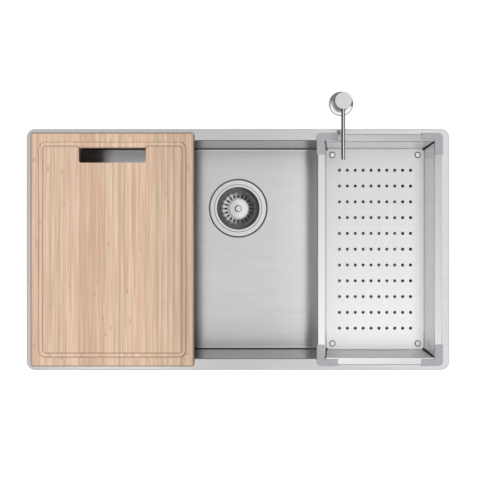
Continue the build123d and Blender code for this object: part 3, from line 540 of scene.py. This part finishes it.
# %% The moulded recipe
def moulded(name, dark, light, rough, size, bump):
    finish, tree, shader = new_finish(name)
    skin = grouped(tree, speckle, {"Size": size})
    tone = ranged(tree, skin["Tone"], 0.35, 0.65, 0.0, 1.0)
    tree.links.new(mixed(tree, tone, (*dark, 1), (*light, 1)), shader.inputs["Base Color"])
    hands = grouped(tree, marks, {"Size": 0.05})["Mask"]
    tree.links.new(ranged(tree, hands, 0.0, 0.6, rough, rough - 0.08), shader.inputs["Roughness"])
    raised(tree, shader, skin["Height"], bump)
    print("moulded:", name)
    return finish


guard_grey = moulded("guard grey", (0.345, 0.35, 0.38), (0.40, 0.405, 0.435),
                     rough=0.55, size=0.0009, bump=0.5)
foot_rubber = moulded("foot rubber", (0.015, 0.015, 0.016), (0.03, 0.03, 0.032),
                      rough=0.75, size=0.001, bump=0.4)
white = moulded("white plastic", (0.74, 0.74, 0.72), (0.82, 0.82, 0.80),
                rough=0.42, size=0.001, bump=0.3)
rubber = moulded("seal rubber", (0.025, 0.025, 0.027), (0.055, 0.055, 0.056),
                 rough=0.7, size=0.0007, bump=0.5)
foam = moulded("rim foam", (0.08, 0.08, 0.085), (0.15, 0.15, 0.155),
               rough=0.9, size=0.0015, bump=1.0)
damping = moulded("damping pad", (0.13, 0.13, 0.14), (0.21, 0.21, 0.22),
                  rough=0.8, size=0.002, bump=0.8)

# %% [markdown]
# ## Bamboo
#
# The board is glued up from staves that run from front to back, and each stave from narrow
# strips of cane. Every stave and every strip has its own tone, with long fibres. Numbering the
# staves and strips with a rounded-down coordinate gives each its own random numbers, and
# stretched noise gives the fibres. A random shift along the stave keeps the fibres from running
# on into the next one. Some staves lean to pink and some to cream.

# %% The bamboo's staves and strips
stave_width = 0.0194
strip_width = stave_width / 4
board_low, board_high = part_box("chopping_board")

bamboo, tree, shader = new_finish("bamboo")
place = place_in(tree)
spot_x, spot_y, spot_z = parts_of(tree, place)
run = calc(tree, "DIVIDE", spot_x, strip_width)
strip = calc(tree, "FLOOR", run)
stave = calc(tree, "FLOOR", calc(tree, "DIVIDE", spot_x, stave_width))


def random_of(tree, number, shift):
    feeds = {"W": plus(tree, number, shift)}
    return put(tree, "ShaderNodeTexWhiteNoise", feeds, noise_dimensions="1D").outputs["Value"]


def fibre_noise(tree, place, across, along, detail):
    return noise(tree, scaled(tree, place, (1.0 / across, 1.0 / along, 1.0 / across)), 1.0, detail)


shifted = joined(tree, spot_x, plus(tree, spot_y, random_of(tree, stave, 9.5)), spot_z)
fibres = fibre_noise(tree, shifted, 0.0014, 0.09, 3.0)
streaks = fibre_noise(tree, shifted, 0.0032, 0.16, 2.0)
blush = fibre_noise(tree, shifted, 0.006, 0.12, 2.0)
tone = times(tree, random_of(tree, stave, 3.5), 0.24)
for part, share in ((random_of(tree, strip, 0.5), 0.16), (streaks, 0.62), (fibres, 0.7)):
    tone = plus(tree, tone, times(tree, part, share))
cane = put(tree, "ShaderNodeValToRGB", {0: ranged(tree, tone, 0.67, 1.05, 0.0, 1.0)})
cane.color_ramp.elements[0].color = (0.47, 0.315, 0.207, 1)
cane.color_ramp.elements[1].color = (0.95, 0.765, 0.59, 1)
cane.color_ramp.elements.new(0.5).color = (0.73, 0.515, 0.37, 1)
pink = mixed(tree, 0.5, cane.outputs[0], (0.76, 0.47, 0.35, 1))
cream = mixed(tree, 0.45, cane.outputs[0], (0.74, 0.575, 0.395, 1))
hue = plus(tree, times(tree, random_of(tree, stave, 20.5), 0.22), times(tree, blush, 0.8))
colour = mixed(tree, ranged(tree, hue, 0.36, 0.66, 0.0, 1.0, True), cream, pink)
print("strips across the board:", round((board_high.x - board_low.x) / strip_width))

# %% [markdown]
# Here and there a strip has a short brown mark where the cane had a joint. The joints come at an
# even gap along a strip, shifted by a random number, and another random number says whether this
# strip shows them at all. The fibres break the mark up, and it fades towards the strip's sides.

# %% The cane's joints
joint_gap = 0.33
joint_half = 0.022

along_strip = plus(tree, calc(tree, "DIVIDE", spot_y, joint_gap),
                   times(tree, random_of(tree, strip, 40.5), 7.0))
from_joint = calc(tree, "ABSOLUTE", minus(tree, calc(tree, "FRACT", along_strip), 0.5))
from_joint = plus(tree, from_joint, times(tree, minus(tree, blush, 0.5), 0.05))
from_strip_middle = calc(tree, "ABSOLUTE", minus(tree, calc(tree, "FRACT", run), 0.5))
mark = ranged(tree, from_joint, 0.0, joint_half, 1.0, 0.0, True)
mark = times(tree, mark, ranged(tree, from_strip_middle, 0.1, 0.48, 1.0, 0.0, True))
mark = times(tree, mark, above(tree, random_of(tree, strip, 80.5), 0.6))
mark = times(tree, mark, ranged(tree, fibres, 0.35, 0.65, 0.2, 0.65))
colour = mixed(tree, mark, colour, (0.38, 0.22, 0.13, 1))
print("joints every", joint_gap, "m along a strip")

# %% [markdown]
# A router has cut the juice groove, and the shade along its steep walls is painted in as dark
# lines. The inner wall follows a rectangle with round corners, so the finish measures how far a
# point lies outside that rectangle: a thin line of painted shade runs along the wall, the groove
# beside it has a little painted light, and its outer edge is a faint painted line of shade. The
# lines on the left, on the front and along the outer edge at the right are painted darker than
# the others. Behind the grip slot the wall turns in towards the slot with a round corner on each
# side.

# %% The board's juice groove and its painted shade
field = (0.123, 0.1831)
field_round = 0.0045
slot_half = (0.0596, 0.01325)
slot_y = board_high.y - 0.0402
slot_round = 0.0035
side_step = 0.001
wall_line, line_soft = (0.0, 0.0009), 0.0005
outer_line, outer_soft = (0.0075, 0.0082), 0.0006
groove_middle, groove_soft = (0.002, 0.006), 0.001
turn_x = slot_half[0] + slot_round
turn_y = field[1] - slot_round


def band(tree, value, low, high, soft):
    return hill(tree, value, low - soft, low, high, high + soft)


from_board_middle = minus(tree, spot_x, (board_low.x + board_high.x) / 2)
side_x = calc(tree, "ABSOLUTE", from_board_middle)
side_y = calc(tree, "ABSOLUTE", spot_y)
past_x = minus(tree, side_x, field[0] - field_round)
past_y = minus(tree, side_y, field[1] - field_round)
corner = joined(tree, calc(tree, "MAXIMUM", past_x, 0.0), calc(tree, "MAXIMUM", past_y, 0.0))
inward = calc(tree, "MINIMUM", calc(tree, "MAXIMUM", past_x, past_y), 0.0)
outside = minus(tree, plus(tree, length_of(tree, corner), inward), field_round)

behind_slot = times(tree, below(tree, side_x, turn_x), above(tree, spot_y, slot_y))
turn = joined(tree, minus(tree, side_x, turn_x), minus(tree, spot_y, turn_y))
turn = band(tree, length_of(tree, turn), slot_round, slot_round + 0.0008, line_soft)
turn = times(tree, times(tree, turn, behind_slot), above(tree, spot_y, turn_y - side_step))
# Painted shade: dark lines along the groove's inner wall and round the turns behind the slot.
wall = times(tree, band(tree, outside, *wall_line, line_soft), minus(tree, 1.0, behind_slot))

on_left = ranged(tree, from_board_middle, side_step - field[0], -field[0], 0.0, 1.0)
on_right = ranged(tree, from_board_middle, field[0] - side_step, field[0], 0.0, 1.0)
on_front = ranged(tree, spot_y, side_step - field[1], -field[1], 0.0, 1.0)
# How strong the painted shade is: stronger on the left and front, weaker on the right.
depth = plus(tree, 0.62, times(tree, calc(tree, "MAXIMUM", on_left, on_front), 0.3))
depth = minus(tree, depth, times(tree, on_right, 0.17))
wall = times(tree, calc(tree, "MAXIMUM", wall, turn), depth)
outer_edge_shade = times(tree, band(tree, outside, *outer_line, outer_soft),
                   plus(tree, 0.22, times(tree, on_right, 0.5)))
# Painted light: the groove beside the wall is a little lighter.
groove_light = times(tree, band(tree, outside, *groove_middle, groove_soft), 0.16)
colour = mixed(tree, groove_light, colour, (0.95, 0.78, 0.62, 1))
colour = mixed(tree, calc(tree, "MAXIMUM", wall, outer_edge_shade), colour, (0.20, 0.10, 0.055, 1))
print("groove from", field, "outwards")

# %% [markdown]
# The walls of the grip slot are painted dark brown below their rounded lip, as the shade inside
# the slot. A thin glue line lies between two strips, a shade darker and a hair lower. On the cut
# ends the fibres show as fine dots, picked out by the direction that the face looks in. The
# rounded top edge shows as a darker line of painted shade, and the right side of the board is a
# shade darker than the rest. The oil on the wood leaves a soft sheen.

# %% The bamboo's slot, glue lines, ends and sheen
slot_reach = 0.0007
lip_end, lip_start = board_high.z - 0.0025, board_high.z - 0.0008
fibre_depth = 0.00006
glue_depth = 0.00008
dots_per_metre = 1500.0

from_slot = calc(tree, "ABSOLUTE", minus(tree, spot_y, slot_y))
in_slot = times(tree, below(tree, side_x, slot_half[0] + slot_reach),
                below(tree, from_slot, slot_half[1] + slot_reach))
# Painted shade: the slot's walls dark below their lip.
slot_wall_shade = ranged(tree, spot_z, lip_end, lip_start, 0.85, 0.0)
colour = mixed(tree, times(tree, in_slot, slot_wall_shade), colour, (0.085, 0.05, 0.032, 1))

glue = ranged(tree, from_strip_middle, 0.44, 0.49, 0.0, 1.0, True)
colour = mixed(tree, times(tree, glue, 0.10), colour, (0.45, 0.27, 0.17, 1))
cut_end = above(tree, calc(tree, "ABSOLUTE", parts_of(tree, look_in(tree))[1]), 0.8)
dots = ranged(tree, noise(tree, place, dots_per_metre, 1.0), 0.42, 0.62, 0.0, 1.0, True)
ends = mixed(tree, dots, (0.47, 0.30, 0.19, 1), (0.70, 0.50, 0.34, 1))
colour = mixed(tree, times(tree, cut_end, 0.8), colour, ends)
from_edge = calc(tree, "MINIMUM", minus(tree, (board_high.x - board_low.x) / 2, side_x),
                 minus(tree, board_high.y, side_y))
# Painted shade: a darker line along the rounded top edge.
rounded_edge_shade = ranged(tree, from_edge, 0.0012, 0.0024, 0.75, 0.0)
colour = mixed(tree, rounded_edge_shade, colour, (0.22, 0.12, 0.07, 1))
colour = scaled(tree, colour, ranged(tree, from_board_middle, 0.06, 0.14, 0.91, 0.77, True))
tree.links.new(colour, shader.inputs["Base Color"])
tree.links.new(ranged(tree, fibres, 0.3, 0.7, 0.44, 0.56), shader.inputs["Roughness"])
height = minus(tree, times(tree, fibres, fibre_depth), times(tree, glue, glue_depth))
raised(tree, shader, height, 0.5)
print("finish:", bamboo.name, "with its slot at", round(slot_y, 4))

# %% [markdown]
# ## Giving the finishes to the solids
#
# Each solid already names a slot in the record, such as brushed or rubber. One table turns a
# slot into a finish, so a solid that is added later gets the right one by itself. Some solids
# share a slot with others and have a finish of their own, such as the colander, the rim and the
# strainer's parts. A second table names these.

# %% Assign the finishes
finish_of_slot = {
    "brushed": brushed, "polished": polished, "zinc": zinc, "chrome": chrome, "brass": brass,
    "bamboo": bamboo, "guard": guard_grey, "foot": foot_rubber, "rubber": rubber, "foam": foam,
    "damping": damping, "plastic": white,
}
finish_of_solid = {
    "sink_rim": rim_steel, "colander_tray": satin, "foot_rivets": rivet_steel,
    "strainer_basket": basket_steel, "strainer_body": cup_steel, "basket_knob": knob_steel,
    "dispenser_collar": collar_chrome, "pump_nozzle": nozzle_chrome,
}
for part in frame["record"]["subparts"]:
    mesh = solids[part["node"]].data
    mesh.materials.clear()
    mesh.materials.append(finish_of_solid.get(part["node"], finish_of_slot[part["material_slot"]]))

# %% [markdown]
# ## The lips of the colander's holes
#
# A punch leaves each hole with a slightly rounded lip that catches the light. There are 110 of
# them on an even grid, which is work for Geometry Nodes: a grid gives the points, a small ring
# is set on each point, and the result is made real. The ring has only 48 faces.

# %% A tree for rings on a grid
def new_tree(name, inputs):
    tree = bpy.data.node_groups.new(name, "GeometryNodeTree")
    ids = {}
    for title, kind, value in inputs:
        socket = tree.interface.new_socket(title, in_out="INPUT", socket_type="NodeSocket" + kind)
        if value is not None:
            socket.default_value = value
        ids[title] = socket.identifier
    tree.interface.new_socket("Geometry", in_out="OUTPUT", socket_type="NodeSocketGeometry")
    start = tree.nodes.new("NodeGroupInput").outputs
    end = tree.nodes.new("NodeGroupOutput").inputs[0]
    return tree, start, end, ids


def close_tree(tree, shape, finish, end):
    real = put(tree, "GeometryNodeRealizeInstances", {0: shape}).outputs[0]
    soft = put(tree, "GeometryNodeSetShadeSmooth", {0: real}).outputs[0]
    named = put(tree, "GeometryNodeSetMaterial", {0: soft, "Material": finish}).outputs[0]
    tree.links.new(named, end)


def circle(tree, radius, corners):
    feeds = {"Resolution": corners, "Radius": radius}
    return put(tree, "GeometryNodeCurvePrimitiveCircle", feeds).outputs[0]


def tube(tree, line, wire, sides):
    feeds = {0: line, 1: circle(tree, wire, sides), "Fill Caps": True}
    return put(tree, "GeometryNodeCurveToMesh", feeds).outputs[0]


def moved(tree, shape, place):
    return put(tree, "GeometryNodeTransform", {0: shape, "Translation": place}).outputs[0]


def copies_on(tree, points, shape):
    feeds = {"Points": points, "Instance": shape}
    return put(tree, "GeometryNodeInstanceOnPoints", feeds).outputs[0]


lips, given, end, lip_ids = new_tree("hole lips", [
    ("Across", "Int", 10), ("Along", "Int", 11), ("Pitch across", "Float", 0.0146),
    ("Pitch along", "Float", 0.0292), ("Radius", "Float", 0.0029), ("Wire", "Float", 0.00028),
    ("Place", "Vector", (0, 0, 0)), ("Finish", "Material", None),
])
wide = times(lips, minus(lips, given["Across"], 1.0), given["Pitch across"])
deep = times(lips, minus(lips, given["Along"], 1.0), given["Pitch along"])
points = put(lips, "GeometryNodeMeshGrid", {
    "Size X": wide, "Size Y": deep,
    "Vertices X": given["Across"], "Vertices Y": given["Along"]}).outputs[0]
ring = tube(lips, circle(lips, given["Radius"], 16), given["Wire"], 3)
rings = moved(lips, copies_on(lips, points, ring), given["Place"])
close_tree(lips, rings, given["Finish"], end)
print("tree:", lips.name, "inputs", list(lip_ids))

# %% [markdown]
# A tree does nothing until an object carries it. The next helper gives a tree to an empty
# mesh, sets its inputs, takes the result as a plain mesh, and lets the tree go, so that the
# finished piece is an ordinary mesh at the origin that can ride on its body.

# %% Grow the lips and let them ride on the colander
def added(name, data):
    thing = bpy.data.objects.new(name, data)
    bpy.context.scene.collection.objects.link(thing)
    return thing


def grow(name, tree, ids, values, body, points=()):
    seed = added(name + "_seed", bpy.data.meshes.new(name + "_seed"))
    seed.data.from_pydata(points, [], [])
    carrier = seed.modifiers.new("grow", "NODES")
    carrier.node_group = tree
    for title, value in values.items():
        carrier[ids[title]] = value
    ready = seed.evaluated_get(bpy.context.evaluated_depsgraph_get())
    mesh = bpy.data.meshes.new_from_object(ready)
    mesh.name = name
    piece = added(name, mesh)
    seed.modifiers.remove(carrier)
    bpy.data.objects.remove(seed)
    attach(piece, body)
    print(name, "faces:", len(mesh.polygons))
    return piece


sheet_thickness = 0.0008
tray_floor = tray_low.z + sheet_thickness
grow("hole_lips", lips, lip_ids, {
    "Place": ((tray_low.x + tray_high.x) / 2, 0.0, tray_floor), "Finish": satin}, "colander")

# %% [markdown]
# ## Threads
#
# The outlet, the shank of the pump and its lower end are threaded, and the solids have plain
# cylinders there. A thread is a ridge that climbs round a cylinder, so a spiral curve with a
# small round section makes it. One tree with four sizes and a place serves all three.

# %% A tree for a thread, grown three times
def spiral(tree, radius, turns, height, steps):
    feeds = {"Resolution": steps, "Rotations": turns, "Start Radius": radius,
             "End Radius": radius, "Height": height}
    return put(tree, "GeometryNodeCurveSpiral", feeds).outputs[0]


thread, given, end, thread_ids = new_tree("thread ridge", [
    ("Radius", "Float", 0.0239), ("Turns", "Float", 6.0), ("Height", "Float", 0.016),
    ("Wire", "Float", 0.0006), ("Place", "Vector", (0, 0, 0)), ("Finish", "Material", None),
])
climb = spiral(thread, given["Radius"], given["Turns"], given["Height"], 40)
ridge = moved(thread, tube(thread, climb, given["Wire"], 6), given["Place"])
close_tree(thread, ridge, given["Finish"], end)

shank_low, shank_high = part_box("dispenser_shank")
pump_x = (shank_low.x + shank_high.x) / 2
pump_y = (shank_low.y + shank_high.y) / 2
grow("outlet_thread", thread, thread_ids, {
    "Radius": 0.0236, "Turns": 7.0, "Height": 0.0155, "Wire": 0.0008,
    "Place": (0.0, drain_y, drain_low.z + 0.002), "Finish": white}, "sink")
grow("shank_thread", thread, thread_ids, {
    "Radius": 0.0118, "Turns": 22.0, "Height": 0.033, "Wire": 0.0005,
    "Place": (pump_x, pump_y, -0.0365), "Finish": brass}, "sink")
grow("bottle_thread", thread, thread_ids, {
    "Radius": 0.0108, "Turns": 4.0, "Height": 0.0095, "Wire": 0.0006,
    "Place": (pump_x, pump_y, shank_low.z + 0.001), "Finish": brass}, "sink")

# %% [markdown]
# ## The clamp screws
#
# Eight screws pull the clamps tight. The solids have plain rods with plain heads, and a closer
# look wants a thread. One screw is joined from a six-sided head, a rod and a spiral, and a copy
# is set on every point that the tree is given.

# %% A tree for one screw, set on points
head_high = 0.003
thread_start = head_high + 0.0015
thread_wire = 0.0002

screws, given, end, screw_ids = new_tree("clamp screws", [
    ("Points", "Geometry", None), ("Rod", "Float", 0.0018), ("Head", "Float", 0.0032),
    ("Length", "Float", 0.03), ("Pitch", "Float", 0.0009), ("Finish", "Material", None),
])


def cylinder(sides, radius, depth):
    feeds = {"Vertices": sides, "Radius": radius, "Depth": depth}
    return put(screws, "GeometryNodeMeshCylinder", feeds).outputs[0]


head = moved(screws, cylinder(6, given["Head"], head_high), (0, 0, head_high / 2))
half_way = joined(screws, 0.0, 0.0, times(screws, given["Length"], 0.5))
rod = moved(screws, cylinder(14, given["Rod"], given["Length"]), half_way)
cut = minus(screws, given["Length"], head_high + 0.002)
climb = spiral(screws, given["Rod"], calc(screws, "DIVIDE", cut, given["Pitch"]), cut, 12)
climb = moved(screws, climb, (0, 0, thread_start))
one_screw = put(screws, "GeometryNodeJoinGeometry")
for shape in (head, rod, tube(screws, climb, thread_wire, 4)):
    screws.links.new(shape, one_screw.inputs[0])
close_tree(screws, copies_on(screws, given["Points"], one_screw.outputs[0]), given["Finish"], end)
print("tree:", screws.name, "inputs", list(screw_ids))

# %% [markdown]
# The points follow the clamps: three along the front, three along the back and one at each end.
# The outermost screws touch the box of the plain ones, so their places follow from that box and
# the size of a head. The new piece stands in for the plain screws.

# %% Grow eight screws in place of the plain ones
screw_low, screw_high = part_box("clip_screws")
clip_spread = 0.24
head_corner, head_flat = 0.0033, 0.00286
screw_x = screw_high.x - head_corner
screw_y = screw_high.y - head_flat
spots = [(x, y, screw_low.z) for y in (screw_y, -screw_y) for x in (-clip_spread, 0.0, clip_spread)]
spots += [(screw_x, 0.0, screw_low.z), (-screw_x, 0.0, screw_low.z)]
piece = grow("clamp_screw_set", screws, screw_ids, {
    "Length": screw_high.z - screw_low.z, "Finish": zinc}, "sink", spots)
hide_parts("clip_screws")
print("screws at", round(screw_x, 4), "and", round(screw_y, 4))

# %% [markdown]
# ## The studio
#
# A product picture on white has no horizon: the floor is white to the camera and still takes a
# soft shadow. Light Path tells the floor which kind of ray is looking at it. To the camera it is
# mostly a glow with a thin matt layer. To reflections it is the same, but much darker, and
# darkest far away, as a dim room would be. To all other rays it is a plain matt floor.

# %% The floor
def glowing(tree, strength):
    feeds = {"Color": grey(1), "Strength": strength}
    return put(tree, "ShaderNodeEmission", feeds).outputs[0]


def shown(tree, surface):
    tree.links.new(surface, tree.nodes["Material Output"].inputs["Surface"])


floor_z = cad_box[0].z - 0.0005
reach = 30.0
corners = [(x * reach, y * reach, floor_z) for x, y in ((-1, -1), (1, -1), (1, 1), (-1, 1))]
floor_mesh = bpy.data.meshes.new("studio_floor")
floor_mesh.from_pydata(corners, [], [(0, 1, 2, 3)])
floor = added("studio_floor", floor_mesh)
floor_white, tree, shader = new_finish("studio white", Roughness=1.0, Base_Color=grey(0.8))
rays = put(tree, "ShaderNodeLightPath").outputs
seen = calc(tree, "MAXIMUM", rays["Is Camera Ray"], rays["Is Glossy Ray"])
seen = calc(tree, "MAXIMUM", seen, rays["Is Transmission Ray"])
distance = length_of(tree, put(tree, "ShaderNodeNewGeometry").outputs["Position"])
dim_room = ranged(tree, distance, 0.7, 1.5, 0.2, 0.12, True)
glow = glowing(tree, times(tree, calc(tree, "MAXIMUM", rays["Is Camera Ray"], dim_room), 0.93))
matt = put(tree, "ShaderNodeBsdfDiffuse", {"Color": grey(0.2)}).outputs[0]
both = put(tree, "ShaderNodeAddShader", {0: glow, 1: matt}).outputs[0]
shown(tree, put(tree, "ShaderNodeMixShader", {0: seen, 1: shader.outputs[0], 2: both}).outputs[0])
floor_mesh.materials.append(floor_white)
print("floor at", round(floor_z, 4))

# %% [markdown]
# Steel shows whatever is round it, so the sky of the studio matters more than the lamps. A
# wide white ceiling gives the flat steel its even grey. It darkens towards the walls of the room,
# which gives round tubes and folds their dark edges, and a little round the camera straight
# above. A soft box makes it brighter to the right. A small skylight comes back through the
# board's grip slot and lights the floor of the bowl that shows there. The upward part of a
# direction picks ceiling or wall, its sideways part the soft box, and a dot product says how
# near to the skylight a ray looks. The camera itself sees white.

# %% The sky of the studio
skylight_side = (-0.093, -0.066, 0.9935)

world = bpy.data.worlds.new("studio sky")
bpy.context.scene.world = world
world.use_nodes = True
tree = world.node_tree
ray = put(tree, "ShaderNodeTexCoord").outputs["Generated"]
to_right, _, upward = parts_of(tree, ray)
ceiling = ranged(tree, upward, 0.62, 0.93, 0.26, 1.0, True)
shade = ranged(tree, upward, 0.95, 0.99, 0.0, 0.26, True)
soft_box = times(tree, ranged(tree, to_right, -0.02, 0.16, 0.0, 0.35),
                 ranged(tree, upward, 0.6, 0.85, 0.0, 1.0, True))
skylight = ranged(tree, agreement(tree, ray, skylight_side), 0.9975, 0.9996, 0.0, 0.9, True)
level = plus(tree, plus(tree, minus(tree, ceiling, shade), soft_box), skylight)
level = calc(tree, "MAXIMUM", level, put(tree, "ShaderNodeLightPath").outputs["Is Camera Ray"])
tree.links.new(level, tree.nodes["Background"].inputs["Strength"])
tree.nodes["Background"].inputs["Color"].default_value = grey(1)
print("sky:", len(tree.nodes), "nodes")

# %% [markdown]
# One large lamp adds the soft direction of a window. It hangs to the front and right, outside
# the camera's view, and is wide, so its shadows have no hard edge. It lights wood and plastic,
# and is kept out of reflections, because the steel has its own soft box in the sky.

# %% The lamp
lamp_data = bpy.data.lights.new("window_lamp", "AREA")
lamp_data.shape = "SQUARE"
lamp_data.size = 1.6
lamp_data.energy = 52.0
lamp = added("window_lamp", lamp_data)
lamp.location = (0.6, -0.8, 3.0)
lamp.rotation_euler = (-lamp.location).to_track_quat("-Z", "Y").to_euler()
lamp.visible_glossy = False
print("lamp size", lamp_data.size)

# %% [markdown]
# The collar of the pump slopes, so it looks past the ceiling into the dark walls of the room. A
# low white card is bent round its left and front, brighter to the front. Only reflections see
# the card, and it stands lower than the nozzle, which keeps its dark edges.

# %% A card for the collar
card_reach = 0.045
card_low, card_high = 0.008, 0.0255
card_from, card_turn = 150, 200
card_steps = 24
dim_end, bright_end = pump_y + 0.024, pump_y - 0.02

card_points = []
for step in range(card_steps + 1):
    angle = math.radians(card_from + card_turn * step / card_steps)
    foot = (pump_x + card_reach * math.cos(angle), pump_y + card_reach * math.sin(angle))
    card_points += [(*foot, card_low), (*foot, card_high)]
card_faces = [(2 * i, 2 * i + 2, 2 * i + 3, 2 * i + 1) for i in range(card_steps)]
card_mesh = bpy.data.meshes.new("collar_card")
card_mesh.from_pydata(card_points, [], card_faces)
card = added("collar_card", card_mesh)
card_white, tree, shader = new_finish("card white", Roughness=1.0)
card_y = parts_of(tree, put(tree, "ShaderNodeNewGeometry").outputs["Position"])[1]
shown(tree, glowing(tree, ranged(tree, card_y, dim_end, bright_end, 0.2, 1.3)))
card_mesh.materials.append(card_white)
card.visible_camera = False
card.visible_diffuse = False
card.visible_shadow = False
print("card faces:", len(card_faces))

# %% [markdown]
# ## The camera
#
# The picture is taken from straight above with a long lens. Its height follows from how much
# of the bowl's walls can be seen, and its place from where the middle of the sink lies in the
# picture. It looks straight down, which is how a new camera already looks.

# %% The camera
eye = bpy.data.cameras.new("overhead_camera")
eye.sensor_width = 36.0
eye.lens = 96.53
camera = added("overhead_camera", eye)
camera.location = (0.0035, 0.017, 2.3025)
camera.rotation_euler = (0.0, 0.0, 0.0)
bpy.context.scene.camera = camera
bpy.context.scene.view_settings.view_transform = "Standard"
print("camera at", tuple(round(v, 4) for v in camera.location))
